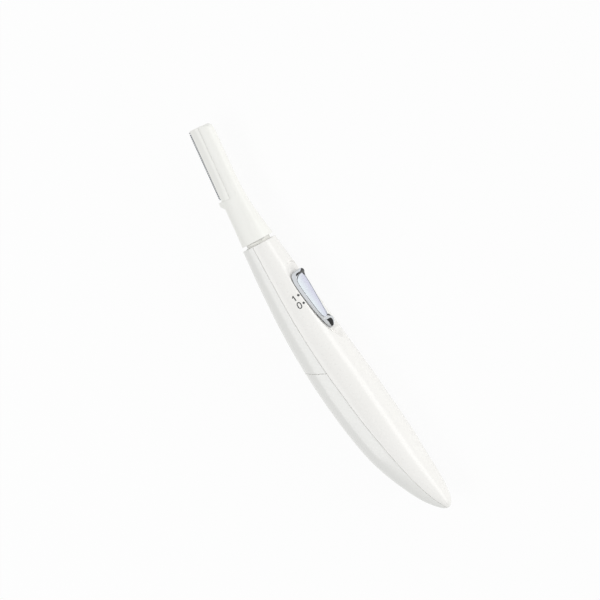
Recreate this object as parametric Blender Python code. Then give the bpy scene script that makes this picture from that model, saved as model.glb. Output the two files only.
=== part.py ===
import math

import bmesh
import bpy
from mathutils import Matrix, Vector

# Metres. The shaver lies on its side: +X toward the head, -Y toward the
# switch, +Y toward the blade and the battery cover, +Z up.

# Fits, and reaches beyond everything, across and lengthways, for the tools that cut
gap = 0.0003
overrun = 0.004
far_reach = 0.03
long_reach = 0.2
pin_gap = 0.0003

# The flat land along each side, which the piece lies on, and the placing of
# the whole piece over the middle of its own footprint
side_land = 0.00798
lift = side_land
shift_back = -0.007315

# Housing: a bowed spindle, sections given from its top (0) to its tip (1)
body_top = 0.030925
body_length = 0.1064
body_tip_x = body_top - body_length
bow_depth = 0.008
half_depth = 0.01
wall = 0.0011
body_power = 2.25
side_share = 0.82
side_gain_share = 0.20
side_gain_from_share = 0.60
ring_count = 36
body_steps = 26
crowding = 1.5
body_first_share = -0.035
cavity_first_share = -0.06
cavity_last_share = 0.95
# along, bow, depth, seam
body_shares = (
    (-0.070, 0.760, 0.585, 0.12),
    (0.000, 0.825, 0.627, 0.12),
    (0.110, 0.908, 0.750, 0.12),
    (0.258, 0.996, 0.876, 0.12),
    (0.406, 1.004, 0.962, 0.14),
    (0.518, 0.949, 0.994, 0.16),
    (0.629, 0.876, 0.975, 0.20),
    (0.740, 0.748, 0.907, 0.26),
    (0.815, 0.611, 0.786, 0.26),
    (0.889, 0.403, 0.627, 0.22),
    (0.945, 0.219, 0.455, 0.21),
    (0.981, 0.075, 0.268, 0.20),
    (0.994, 0.040, 0.165, 0.20),
    (1.000, 0.031, 0.060, 0.20),
)
seam_shares = (-0.06, 0.0, 0.11, 0.26, 0.41, 0.52, 0.63, 0.74, 0.82, 0.89, 0.945, 0.98, 1.0)

# Rim of the housing and foot of the head, two parallel planes across the neck
rim_tilt = math.radians(6.0)
rim_x = 0.0318
rim_y = 0.0066
foot_rise = 0.0013

# Joint between the rear cover and the battery cover, a slanted plane
split_side_x = -0.016775
split_side_y = 0.0063
split_back_x = -0.011975
split_back_y = 0.0176
tongue_reach = 0.0048
tongue_root = 0.0016
tongue_step = 0.0008
tongue_half = 0.0020
tongue_back = 0.01575
tongue_front = 0.01500
tongue_root_back = 0.0169


# Switch knob, at the off end of its travel, carried by a stem
stem_head_end = 0.0020
knob_length = 0.0223
knob_ahead_share = 0.7052
knob_head_end = stem_head_end + knob_length * knob_ahead_share
knob_half = 0.0036
knob_travel = 0.0029
knob_rise = 0.0023
knob_under = 0.0010
knob_shares = (
    (0.0, 0.0), (0.008, 0.42), (0.025, 0.68), (0.05, 0.86), (0.09, 0.96), (0.16, 1.0),
    (0.28, 0.97), (0.40, 0.90), (0.50, 0.82), (0.60, 0.73), (0.77, 0.56), (0.88, 0.41),
    (0.95, 0.27), (0.985, 0.15), (1.0, 0.0),
)
# along, height of the crest line as a share of the rise
knob_crest_shares = (
    (0.0, 0.30), (0.006, 0.72), (0.02, 0.96), (0.04, 0.97), (0.07, 0.74), (0.11, 0.34),
    (0.17, 0.13), (0.30, 0.06), (0.58, 0.05), (0.72, 0.09), (0.79, 0.20), (0.84, 0.56),
    (0.88, 0.80), (0.92, 0.82), (0.96, 0.60), (0.985, 0.36), (1.0, 0.10),
)
# along, depth of the underside as a share of its deepest
knob_keel_shares = (
    (0.0, 0.30), (0.06, 0.55), (0.16, 0.80), (0.35, 1.0), (0.65, 1.0), (0.85, 0.75), (1.0, 0.40),
)
# section across: height as a share of the rise, half width
knob_dome_shares = (
    (-0.36, 1.0), (-0.20, 0.92), (-0.05, 0.78), (0.06, 0.66), (0.30, 0.58), (0.60, 0.46),
    (0.85, 0.30), (0.97, 0.14),
)
middle_share = 0.5
inlay_from_share = 0.115
inlay_to_share = 0.80
inlay_half_share = 0.58
inlay_head_end_share = 0.72
inlay_tail_end_share = 0.38
inlay_depth = 0.0006
stem_half = 0.0009
stem_length = 0.0036
stem_top = 0.0002
carriage_ahead = 0.0038
carriage_head_end = stem_head_end + carriage_ahead
carriage_length = 0.0092
carriage_half = 0.0022
carriage_front = 0.0027
carriage_back = 0.0032

# Switch well in the front of the housing, round the knob and its travel
well_head_room = 0.0006
well_tail_room = 0.0011
well_side_room = 0.0004
well_head_end = knob_head_end + knob_travel + well_head_room
well_length = well_head_room + knob_travel + knob_length + well_tail_room
well_half = knob_half + well_side_room
well_drop = 0.00035
pad_back = 0.0024
pad_head_room = 0.0023
pad_tail_room = 0.0015
pad_head_end = well_head_end + pad_head_room
pad_tail_end = well_head_end - well_length - pad_tail_room
well_shares = (
    (0.0, 0.0), (0.010, 0.36), (0.03, 0.60), (0.06, 0.78), (0.11, 0.92), (0.20, 1.0),
    (0.32, 1.0), (0.44, 0.94), (0.56, 0.84), (0.68, 0.72), (0.80, 0.58), (0.90, 0.43),
    (0.96, 0.28), (0.988, 0.15), (1.0, 0.0),
)

# Neck and swivel, measured in the head's own axes from the swivel pin
swivel_x = 0.029325
swivel_y = 0.0067
head_angle = math.radians(10.4)
neck_half_depth = 0.0044
neck_half_side = 0.0035
neck_low = -0.0006
neck_high = 0.0036
neck_power = 2.4
tenon_middle = 0.0006
tenon_half_depth = 0.0040
tenon_half_side = 0.0029
tenon_high = 0.0068
channel_half_depth = 0.0026
channel_half_side = 0.0013
cheek_half_depth = 0.0020
cheek_outer = 0.0020
cheek_low = -0.0013
swivel_pin_radius = 0.0005
swivel_pin_near = 0.0014
swivel_pin_far = 0.0033
notch_half_depth = 0.0019
notch_high = 0.0015

# Drive line from the swivel pin to the motor, measured along its own axis
drive_angle = math.radians(6.5)
lever_tip_radius = 0.0008
lever_half = 0.00055
lever_half_side = 0.0009
lever_pivot = -0.0046
lever_boss = 0.0013
lever_pin_radius = 0.0005
lever_pin_half = 0.0031
fork_bar_top = -0.0076
fork_bar_low = -0.0086
fork_low = -0.0104
fork_wall = 0.0008
fork_half_side = 0.0015
fork_play = 0.00007
lever_swing = math.radians(4.0)
cam_throw = 0.0004
cam_radius = 0.0019
cam_top = -0.0114
cam_low = -0.0127
cam_pin_radius = 0.0005
cam_pin_top = -0.0093
# The fork stays clear of the crank pin however the two are turned
fork_inner = cam_pin_radius + cam_throw + (lever_pivot - fork_low) * math.sin(lever_swing) + fork_play
fork_outer = fork_inner + fork_wall
shaft_radius = 0.00045
shaft_top = -0.0118
shaft_low = -0.0301
motor_radius = 0.0045
motor_flat = 0.0041
motor_wall = 0.0004
motor_top = -0.0144
motor_low = -0.0289
bush_radius = 0.0016
bush_top = -0.0135
bush_bore = 0.00075
magnet_outer = 0.0038
magnet_inner = 0.0032
magnet_half_side = 0.0026
magnet_part = 0.0010
magnet_top = -0.0158
magnet_low = -0.0270
armature_radius = 0.0029
armature_top = -0.0164
armature_low = -0.0262
slot_half = 0.0003
slot_reach = 0.0017
cap_radius = 0.0044
cap_top = -0.0292
cap_low = -0.0310
tab_low = -0.0334
tab_half = 0.0002
tab_half_side = 0.0009
tab_offset = 0.0024

# Battery cell, its axis leaning with the housing
cell_head_x = -0.0111
cell_head_y = 0.0075
cell_tail_room = 0.019875
cell_tail_x = body_tip_x + cell_tail_room
cell_tail_y = 0.0050
cell_radius = 0.00525
cell_sleeve = 0.00015
cell_nub_radius = 0.0019
cell_nub_height = 0.0008
cell_edge = 0.0006

# Contacts
leaf_half = 0.00015
positive_half_side = 0.0026
positive_x = -0.01065
positive_front = 0.0050
positive_back = 0.0128
positive_lead_half = 0.0012
positive_end_x = -0.0046
strip_near = -0.0003
strip_far = -0.0015
strip_depth = 0.0057
strip_turn_x = -0.0079
strip_tail = 0.0062
strip_plate_back = 0.0026
groove_depth = 0.00615
groove_tail = 0.00665
switch_pad_back = 0.0050
switch_pad_x = carriage_head_end - switch_pad_back
switch_pad_y = 0.00418
return_near = 0.0017
return_far = 0.0004
return_turn_x = -0.00475
return_end_y = 0.0088
bridge_place = 0.0076
bridge_head_x = carriage_head_end - bridge_place
bridge_length = 0.0014
bridge_front = 0.0035
bridge_back = 0.00375
coil_wire = 0.0003
coil_small = 0.0014
coil_large = 0.0028
coil_turns = 4
coil_points_a_turn = 10
coil_rest = 0.0049

# Chassis
chassis_inset = 0.0014
rail_inner = 0.0023
rail_outer = 0.0034
rail_half_depth = 0.0014
rail_top = 0.0011
bulkhead_top = -0.0131
bulkhead_low = -0.0141
bulkhead_middle = (bulkhead_top + bulkhead_low) / 2
cradle_thick = 0.0006
cradle_half = 0.0044
cradle_back = -0.0015
mid_head_x = -0.0052
mid_tail_x = -0.0102
mid_front = 0.0052
mid_back = 0.0147
trough_thick = 0.0010
trough_head = 0.0019
trough_tail = 0.0070
trough_half = 0.0049
trough_back = -0.0002
tail_wall_room = 0.012075
tail_wall_thick = 0.0017
tail_wall_tail_x = body_tip_x + tail_wall_room
tail_wall_head_x = tail_wall_tail_x + tail_wall_thick
window_head_room = 0.0031
window_tail_room = 0.0022
window_head_x = carriage_head_end + knob_travel + window_head_room
window_tail_x = carriage_head_end - carriage_length - window_tail_room
window_half = 0.0028
window_back = 0.0046

# Chassis screws
screw_x = -0.0071
screw_side = 0.0036
screw_radius = 0.0007
screw_head_radius = 0.0014
screw_head_height = 0.0009
screw_head_seat = 0.0117
screw_tip = 0.0018
boss_radius = 0.0018
boss_back = 0.0049

# Head, sections from the swivel pin (0) to its flat end (1)
head_reach = 0.04571
head_front = 0.0056
head_back = 0.0068
head_half = 0.0048
head_ring_count = 32
head_steps = 22
# along, front, back, thickness, squareness, thinning toward the blade
head_shares = (
    (0.020, 1.070, 0.922, 1.080, 2.25, 0.00),
    (0.081, 1.000, 0.934, 1.000, 2.30, 0.00),
    (0.125, 0.930, 0.937, 0.930, 2.30, 0.00),
    (0.212, 0.768, 0.949, 0.781, 2.40, 0.02),
    (0.307, 0.598, 0.956, 0.635, 2.60, 0.08),
    (0.394, 0.491, 0.971, 0.540, 2.70, 0.20),
    (0.482, 0.411, 0.993, 0.500, 2.80, 0.36),
    (0.657, 0.375, 1.000, 0.490, 2.80, 0.46),
    (0.920, 0.360, 1.000, 0.490, 2.80, 0.46),
    (0.960, 0.300, 1.000, 0.490, 2.80, 0.46),
    (0.984, 0.180, 0.997, 0.485, 2.80, 0.46),
    (1.000, 0.020, 0.985, 0.475, 2.80, 0.46),
)
face_half = 0.0021
face_low = 0.0205
ramp_low = 0.0150
ramp_half = 0.0033
socket_high = 0.0071
chamber_high = 0.0125
chamber_front = -0.0024
chamber_back = 0.0059
chamber_half = 0.0013
slider_way_front = 0.0030
slider_way_half = 0.0012
slot_low = 0.0200
slot_front = 0.00193
slot_floor = -0.0010
guard_low = 0.0183
guard_high = 0.0199
guard_run = 0.0014
guard_ease = 0.0003
guard_front = 0.0060
guard_back = 0.00778
guard_half = 0.0009
cover_floor = 0.0006
stud_radius = 0.0006
stud_top = 0.0003
stud_y = 0.0046
stud_low_x = 0.0245
stud_end_room = 0.00521
stud_high_x = head_reach - stud_end_room

# Blades
comb_low = 0.0206
comb_end_room = 0.00041
comb_high = head_reach - comb_end_room
comb_front = 0.0024
comb_root = 0.0070
comb_tip = 0.00793
comb_under = -0.0007
comb_over = -0.00035
comb_teeth = 36
cutter_low = 0.0211
cutter_end_room = 0.00131
cutter_high = head_reach - cutter_end_room
cutter_front = 0.0032
cutter_root = 0.0067
cutter_tip = 0.0075
cutter_under = -0.00005
cutter_over = 0.0003
cutter_teeth = 34
tooth_rise_share = 0.16
tooth_tip_share = 0.50
tooth_fall_share = 0.66
tail_low = 0.0165
tail_front = 0.0037
tail_back = 0.0053
stroke = 0.00033

# Blade slider and bell crank
slider_low = 0.0074
slider_step = 0.0162
slider_high = 0.0196
slider_front = 0.0033
slider_back = 0.0056
slider_half = 0.0009
crank_x = 0.0090
crank_boss = 0.0014
crank_half_side = 0.0007
crank_arm_half = 0.0008
crank_fork_inner = 0.0011
crank_fork_outer = 0.0017
crank_fork_low = -0.0014
crank_fork_high = 0.0016
crank_fork_bridge = 0.0026
crank_side_half = 0.0007
crank_ball_y = 0.0041
crank_ball_radius = 0.00055
crank_pin_radius = 0.0005
crank_pin_half = 0.0025

for old in list(bpy.data.objects):
    bpy.data.objects.remove(old, do_unlink=True)

parts = bpy.data.collections.new("facial_shaver")
cutters = bpy.data.collections.new("cutters")
bpy.context.scene.collection.children.link(parts)
bpy.context.scene.collection.children.link(cutters)

turns = {
    "X": Matrix.Rotation(math.radians(90), 4, "Y"),
    "Y": Matrix.Rotation(math.radians(-90), 4, "X"),
    "Z": Matrix.Identity(4),
}


def frame(name, x, y, z, angle, parent):
    empty = bpy.data.objects.new(name, None)
    parts.objects.link(empty)
    empty.parent = parent
    empty.location = (x, y, z)
    empty.rotation_euler = (0, 0, angle)
    return empty


def material(name, colour, roughness, metallic):
    made = bpy.data.materials.new(name)
    made.use_nodes = True
    shader = made.node_tree.nodes["Principled BSDF"]
    shader.inputs["Base Color"].default_value = (*colour, 1)
    shader.inputs["Roughness"].default_value = roughness
    shader.inputs["Metallic"].default_value = metallic
    made.diffuse_color = (*colour, 1)
    return made


# A named piece; its origin stands on the axis it turns about, where it turns
def part(name, mesh, looks, parent, pivot=(0, 0, 0)):
    mesh.name = name
    mesh.transform(Matrix.Translation([-place for place in pivot]))
    made = bpy.data.objects.new(name, mesh)
    made.location = pivot
    made.data.materials.clear()
    made.data.materials.append(material(name, *looks))
    made.parent = parent
    parts.objects.link(made)
    return made


def tool(mesh, parent):
    made = bpy.data.objects.new("tool", mesh)
    made.parent = parent
    made.hide_render = True
    made.display_type = "WIRE"
    cutters.objects.link(made)
    return made


def combine(target, operation, other):
    step = target.modifiers.new(operation.lower(), "BOOLEAN")
    step.operation = operation
    step.solver = "EXACT"
    step.object = other


def cut(target, other):
    combine(target, "DIFFERENCE", other)


def join(target, other):
    combine(target, "UNION", other)


def keep(target, other):
    combine(target, "INTERSECT", other)


def finish(shape):
    bmesh.ops.recalc_face_normals(shape, faces=shape.faces)
    mesh = bpy.data.meshes.new("shape")
    shape.to_mesh(mesh)
    shape.free()
    mesh.shade_smooth()
    mesh.set_sharp_from_angle(angle=math.radians(35))
    return mesh


# A box between two corners
def box(low, high):
    shape = bmesh.new()
    size = [far - near for near, far in zip(low, high)]
    middle = [(far + near) / 2 for near, far in zip(low, high)]
    place = Matrix.Translation(middle) @ Matrix.Diagonal((*size, 1))
    bmesh.ops.create_cube(shape, size=1, matrix=place)
    return finish(shape)


# A round bar along one axis, between two places on it
def rod(axis, radius, low, high, middle=(0, 0), sides=24, far_radius=None):
    shape = bmesh.new()
    places = {
        "X": ((low + high) / 2, middle[0], middle[1]),
        "Y": (middle[0], (low + high) / 2, middle[1]),
        "Z": (middle[0], middle[1], (low + high) / 2),
    }
    place = Matrix.Translation(places[axis]) @ turns[axis]
    far = radius if far_radius is None else far_radius
    bmesh.ops.create_cone(
        shape, cap_ends=True, segments=sides, radius1=radius, radius2=far,
        depth=high - low, matrix=place)
    return finish(shape)


def weld(mesh):
    shape = bmesh.new()
    shape.from_mesh(mesh)
    bmesh.ops.remove_doubles(shape, verts=shape.verts, dist=overrun / 1000)
    bpy.data.meshes.remove(mesh)
    return finish(shape)


# A flat outline given depth: along Z between two heights, or turned to lie across Y
def plate(outline, low, high, across="Z"):
    curve = bpy.data.curves.new("outline", "CURVE")
    curve.dimensions = "2D"
    curve.fill_mode = "BOTH"
    curve.extrude = (high - low) / 2
    spline = curve.splines.new("POLY")
    spline.points.add(len(outline) - 1)
    for point, (x, y) in zip(spline.points, outline):
        point.co = (x, y, 0, 1)
    spline.use_cyclic_u = True
    holder = bpy.data.objects.new("outline", curve)
    mesh = bpy.data.meshes.new_from_object(holder)
    bpy.data.objects.remove(holder)
    bpy.data.curves.remove(curve)
    mesh.transform(Matrix.Translation((0, 0, (low + high) / 2)))
    if across == "Y":
        mesh.transform(Matrix(((1, 0, 0, 0), (0, 0, 1, 0), (0, 1, 0, 0), (0, 0, 0, 1))))
    if across == "X":
        mesh.transform(Matrix(((0, 0, 1, 0), (1, 0, 0, 0), (0, 1, 0, 0), (0, 0, 0, 1))))
    return weld(mesh)


# A closed skin through rings that all have the same number of points
def loft(rings):
    shape = bmesh.new()
    loops = [[shape.verts.new(point) for point in ring] for ring in rings]
    for near, far in zip(loops, loops[1:]):
        for index in range(len(near)):
            after = (index + 1) % len(near)
            shape.faces.new((near[index], near[after], far[after], far[index]))
    shape.faces.new(loops[0])
    shape.faces.new(loops[-1])
    bmesh.ops.triangulate(shape, faces=shape.faces)
    return finish(shape)


def power_ring(x, middle, half_y, half_z, power, count, thinning=0, land=far_reach):
    ring = []
    for index in range(count):
        angle = 2 * math.pi * index / count
        across = math.copysign(abs(math.cos(angle)) ** (2 / power), math.cos(angle))
        up = math.copysign(abs(math.sin(angle)) ** (2 / power), math.sin(angle))
        thin = 1 - thinning * max(0, across)
        high = max(-land, min(land, half_z * up * thin))
        ring.append((x, middle + half_y * across, high))
    return ring


# A smooth reading of one column of a table whose first column is the place
def blend(rows, place, column):
    places = [row[0] for row in rows]
    values = [row[column] for row in rows]
    last = len(rows) - 1
    index = 0
    while index < last - 1 and place > places[index + 1]:
        index += 1
    slopes = []
    for spot in (index, index + 1):
        before = max(spot - 1, 0)
        after = min(spot + 1, last)
        slopes.append((values[after] - values[before]) / (places[after] - places[before]))
    span = places[index + 1] - places[index]
    t = (place - places[index]) / span
    rise = (2 * t ** 3 - 3 * t ** 2 + 1) * values[index] + (3 * t ** 2 - 2 * t ** 3) * values[index + 1]
    bend = (t ** 3 - 2 * t ** 2 + t) * slopes[0] + (t ** 3 - t ** 2) * slopes[1]
    return rise + bend * span


def body_middle(along):
    return blend(body_shares, along, 1) * bow_depth


def body_depth(along):
    return blend(body_shares, along, 2) * half_depth


def body_side(along):
    gain = side_gain_share * max(0, along - side_gain_from_share)
    return body_depth(along) * (side_share + gain)


def body_x(along):
    return body_top - along * body_length


def seam_y(along):
    return body_middle(along) - blend(body_shares, along, 3) * body_depth(along)


# The housing's outer form, or the same form set in by an even amount
def body_form(inset, first, last, steps):
    rings = []
    for index in range(steps + 1):
        along = first + (last - first) * (1 - (1 - index / steps) ** crowding)
        half_y = body_depth(along) - inset
        half_z = body_side(along) - inset
        rings.append(power_ring(
            body_x(along), body_middle(along), half_y, half_z, body_power, ring_count,
            land=side_land - inset))
    return loft(rings)


# Everything on one side of the long seam, as a slab seen from the side
def seam_slab(offset, far_y):
    line = [(body_x(along), seam_y(along) + offset) for along in seam_shares]
    tip = (body_x(1) - overrun, seam_y(1) + offset)
    top = (body_x(seam_shares[0]) + overrun, line[0][1])
    outline = [top, *line, tip, (tip[0], far_y), (top[0], far_y)]
    return plate(outline, -far_reach, far_reach)


# A leaf outline that follows half widths given along its length, less a set-in
def leaf(shares, head_end, length, half, set_in=0):
    upper = [(head_end - along * length, max(0, wide * half - set_in)) for along, wide in shares]
    lower = [(x, -z) for x, z in reversed(upper[1:-1])]
    return upper + lower


root = frame("shaver_frame", 0, shift_back, lift, 0, None)
head_axis = frame("head_axis", swivel_x, swivel_y, 0, -head_angle, root)
drive_axis = frame("drive_axis", swivel_x, swivel_y, 0, -drive_angle, root)
rim_plane = frame("rim_plane", rim_x, rim_y, 0, -rim_tilt, root)
cell_lean = math.atan2(cell_tail_y - cell_head_y, cell_tail_x - cell_head_x) + math.pi
cell_axis = frame("cell_axis", cell_head_x, cell_head_y, 0, cell_lean, root)
cell_length = math.dist((cell_head_x, cell_head_y), (cell_tail_x, cell_tail_y))

pearl = ((0.87, 0.87, 0.85), 0.25, 0)
shade = ((0.80, 0.80, 0.78), 0.30, 0)
ivory = ((0.84, 0.84, 0.80), 0.35, 0)
chrome = ((0.70, 0.71, 0.73), 0.10, 1)
inlay_blue = ((0.55, 0.60, 0.68), 0.15, 0)
steel = ((0.45, 0.46, 0.47), 0.25, 1)
dark_steel = ((0.22, 0.22, 0.23), 0.35, 1)
grey_plastic = ((0.25, 0.26, 0.27), 0.50, 0)
acetal = ((0.75, 0.76, 0.74), 0.40, 0)
brass = ((0.70, 0.52, 0.22), 0.25, 1)
copper = ((0.65, 0.32, 0.18), 0.35, 1)
nickel = ((0.62, 0.60, 0.56), 0.25, 1)
magnet_grey = ((0.10, 0.10, 0.11), 0.60, 0)
label = ((0.12, 0.20, 0.34), 0.35, 0)


# Tools that more than one housing piece is cut with
outer_mesh = body_form(0, body_first_share, 1, body_steps)
cavity = tool(body_form(wall, cavity_first_share, cavity_last_share, body_steps), root)
pad_low = (pad_tail_end, -far_reach, -far_reach)
pad_high = (pad_head_end, pad_back, far_reach)
front_cavity = tool(body_form(wall, cavity_first_share, cavity_last_share, body_steps), root)
cut(front_cavity, tool(box(pad_low, pad_high), root))
behind_seam = tool(seam_slab(0, far_reach), root)
before_seam = tool(seam_slab(gap, -far_reach), root)
above_rim = tool(box((0, -far_reach, -far_reach), (far_reach, far_reach, far_reach)), rim_plane)


# The slanted joint line, as the outline of everything on the head side of it
def split_outline(offset, x_far):
    slope = (split_back_x - split_side_x) / (split_back_y - split_side_y)
    low_x = split_side_x - slope * (split_side_y + far_reach) + offset
    high_x = split_side_x + slope * (far_reach - split_side_y) + offset
    return [(low_x, -far_reach), (x_far, -far_reach), (x_far, far_reach), (high_x, far_reach)]


# Side view of all that lies in front of the knob's underside. The floor of the well is
# the same line, dropped, with its head part moved ahead by the travel.
def keel_outline(drop, ahead):
    line = []
    for along, deep in knob_keel_shares:
        x = knob_head_end - along * knob_length
        line.append((x + ahead if along < middle_share else x, knob_under * deep + drop))
    head_x, tail_x = line[0][0] + overrun, line[-1][0] - overrun
    line = [(head_x, line[0][1]), *line, (tail_x, line[-1][1])]
    return [*line, (tail_x, -far_reach), (head_x, -far_reach)]


def make_front_housing():
    made = part("front_housing", outer_mesh.copy(), pearl, root)
    cut(made, front_cavity)
    for side in (-screw_side, screw_side):
        post = tool(rod("Y", boss_radius, -far_reach, boss_back, (screw_x, side)), root)
        keep(post, tool(body_form(wall / 2, cavity_first_share, cavity_last_share, body_steps), root))
        join(made, post)
        cut(made, tool(rod("Y", screw_radius + gap, screw_tip - gap, far_reach, (screw_x, side)), root))
    cut(made, behind_seam)
    cut(made, above_rim)
    outline = leaf(well_shares, well_head_end, well_length, well_half)
    well = tool(plate(outline, -far_reach, far_reach, "Y"), root)
    keep(well, tool(plate(keel_outline(well_drop, knob_travel), -far_reach, far_reach), root))
    cut(made, well)
    way_tail = stem_head_end - stem_length - gap
    way_head = stem_head_end + knob_travel + gap
    way = box((way_tail, 0, -stem_half - gap), (way_head, pad_back + overrun, stem_half + gap))
    cut(made, tool(way, root))


def make_rear_cover():
    made = part("rear_cover", outer_mesh.copy(), shade, root)
    cut(made, cavity)
    cut(made, before_seam)
    cut(made, above_rim)
    cut(made, tool(plate(split_outline(gap, -long_reach), -far_reach, far_reach), root))


def make_battery_cover():
    made = part("battery_cover", outer_mesh.copy(), shade, root)
    cut(made, cavity)
    cut(made, before_seam)
    cut(made, tool(plate(split_outline(0, long_reach), -far_reach, far_reach), root))
    hook_x = split_back_x + tongue_reach
    root_x = split_back_x - tongue_root
    hook = tool(box((root_x, tongue_front, -tongue_half), (hook_x, tongue_back, tongue_half)), root)
    foot_high = (split_back_x - tongue_step, tongue_root_back, tongue_half)
    join(hook, tool(box((root_x, tongue_front, -tongue_half), foot_high), root))
    join(made, hook)


make_front_housing()
make_rear_cover()
make_battery_cover()


# Knob: a leaf seen from the front, a saddle with raised ends seen from the side
def knob_crest(sink, low_y):
    line = []
    for along, height in knob_crest_shares:
        line.append((knob_head_end - along * knob_length, -height * knob_rise + sink))
    return [*line, (knob_head_end - knob_length, low_y), (knob_head_end, low_y)]


def inlay_outline(trim, narrower):
    low = inlay_from_share + trim
    high = inlay_to_share - trim
    rows = [row for row in knob_shares if low < row[0] < high]
    half = knob_half * inlay_half_share
    head_rows = [(low, 0), (low, inlay_head_end_share)]
    tail_rows = [(high, inlay_tail_end_share), (high, 0)]
    return leaf([*head_rows, *rows, *tail_rows], knob_head_end, knob_length, half, narrower)


def knob_dome():
    near = [(-height * knob_rise, wide * knob_half) for height, wide in knob_dome_shares]
    far = [(y, -z) for y, z in reversed(near)]
    return [(far_reach, knob_half), *near, (-knob_rise, 0), *far, (far_reach, -knob_half)]


def make_switch():
    outline = leaf(knob_shares, knob_head_end, knob_length, knob_half)
    knob = part("switch_knob", plate(outline, -knob_rise, knob_under, "Y"), chrome, root)
    keep(knob, tool(plate(knob_crest(0, knob_under), -far_reach, far_reach), root))
    keep(knob, tool(plate(keel_outline(0, 0), -far_reach, far_reach), root))
    keep(knob, tool(plate(knob_dome(), -far_reach, far_reach, "X"), root))
    pocket = tool(plate(inlay_outline(0, 0), -far_reach, knob_under, "Y"), root)
    cut(pocket, tool(plate(knob_crest(inlay_depth, far_reach), -far_reach, far_reach), root))
    cut(knob, pocket)
    grip_y = stem_top - gap
    socket_low = (stem_head_end - stem_length - gap, grip_y, -stem_half - gap)
    socket_high_corner = (stem_head_end + gap, far_reach, stem_half + gap)
    cut(knob, tool(box(socket_low, socket_high_corner), root))

    outline = inlay_outline(gap / knob_length, gap)
    inlay = part("switch_inlay", plate(outline, -knob_rise, knob_under, "Y"), inlay_blue, root)
    keep(inlay, tool(plate(knob_crest(0, knob_under), -far_reach, far_reach), root))
    cut(inlay, tool(plate(knob_crest(inlay_depth - gap, far_reach), -far_reach, far_reach), root))

    low = (carriage_head_end - carriage_length, carriage_front, -carriage_half)
    high = (carriage_head_end, carriage_back, carriage_half)
    carriage = part("switch_carriage", box(low, high), grey_plastic, root)
    stem_low = (stem_head_end - stem_length, stem_top, -stem_half)
    stem_high = (stem_head_end, carriage_back, stem_half)
    join(carriage, tool(box(stem_low, stem_high), root))


make_switch()


# Neck of the head: a hollow block that rocks on two pins and carries the head
def make_swivel():
    rings = []
    for x in (neck_low, neck_high + overrun):
        rings.append(power_ring(x, 0, neck_half_depth, neck_half_side, neck_power, head_ring_count))
    made = part("swivel_base", loft(rings), ivory, head_axis)
    shoulder = ((-far_reach, -far_reach, -far_reach), (foot_rise - gap, far_reach, far_reach))
    keep(made, tool(box(*shoulder), rim_plane))
    cheeks = box(
        (cheek_low, -cheek_half_depth, -cheek_outer), (notch_high + gap, cheek_half_depth, cheek_outer))
    join(made, tool(cheeks, head_axis))
    rings = []
    for x in (notch_high, tenon_high):
        rings.append(power_ring(
            x, tenon_middle, tenon_half_depth, tenon_half_side, neck_power, head_ring_count))
    join(made, tool(loft(rings), head_axis))
    for side in (-1, 1):
        edges = sorted((side * cheek_outer, side * far_reach))
        notch = box((-far_reach, -notch_half_depth, edges[0]), (notch_high, notch_half_depth, edges[1]))
        cut(made, tool(notch, head_axis))
    channel = box(
        (-far_reach, -channel_half_depth, -channel_half_side),
        (far_reach, channel_half_depth, channel_half_side))
    cut(made, tool(channel, head_axis))
    cut(made, tool(rod("Z", swivel_pin_radius + pin_gap, -far_reach, far_reach), head_axis))

    near = rod("Z", swivel_pin_radius, swivel_pin_near, swivel_pin_far)
    part("swivel_pin_near", near, steel, head_axis)
    far = rod("Z", swivel_pin_radius, -swivel_pin_far, -swivel_pin_near)
    part("swivel_pin_far", far, steel, head_axis)


make_swivel()


# Lever between the motor's crank pin and the swivel axis
def make_lever():
    made = part(
        "drive_lever", rod("Z", lever_boss, -lever_half_side, lever_half_side, (lever_pivot, 0)),
        acetal, drive_axis, (lever_pivot, 0, 0))
    join(made, tool(rod("Z", lever_tip_radius, -lever_half_side, lever_half_side), drive_axis))
    arm = box((fork_bar_low, -lever_half, -lever_half_side), (0, lever_half, lever_half_side))
    join(made, tool(arm, drive_axis))
    fork = box(
        (fork_low, -fork_outer, -fork_half_side), (fork_bar_top, fork_outer, fork_half_side))
    mouth = box((-far_reach, -fork_inner, -far_reach), (fork_bar_low, fork_inner, far_reach))
    fork = tool(fork, drive_axis)
    cut(fork, tool(mouth, drive_axis))
    join(made, fork)
    hole = rod("Z", lever_pin_radius + pin_gap, -far_reach, far_reach, (lever_pivot, 0))
    cut(made, tool(hole, drive_axis))
    pin = rod("Z", lever_pin_radius, -lever_pin_half, lever_pin_half, (lever_pivot, 0))
    part("lever_pin", pin, steel, drive_axis)


make_lever()


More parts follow.
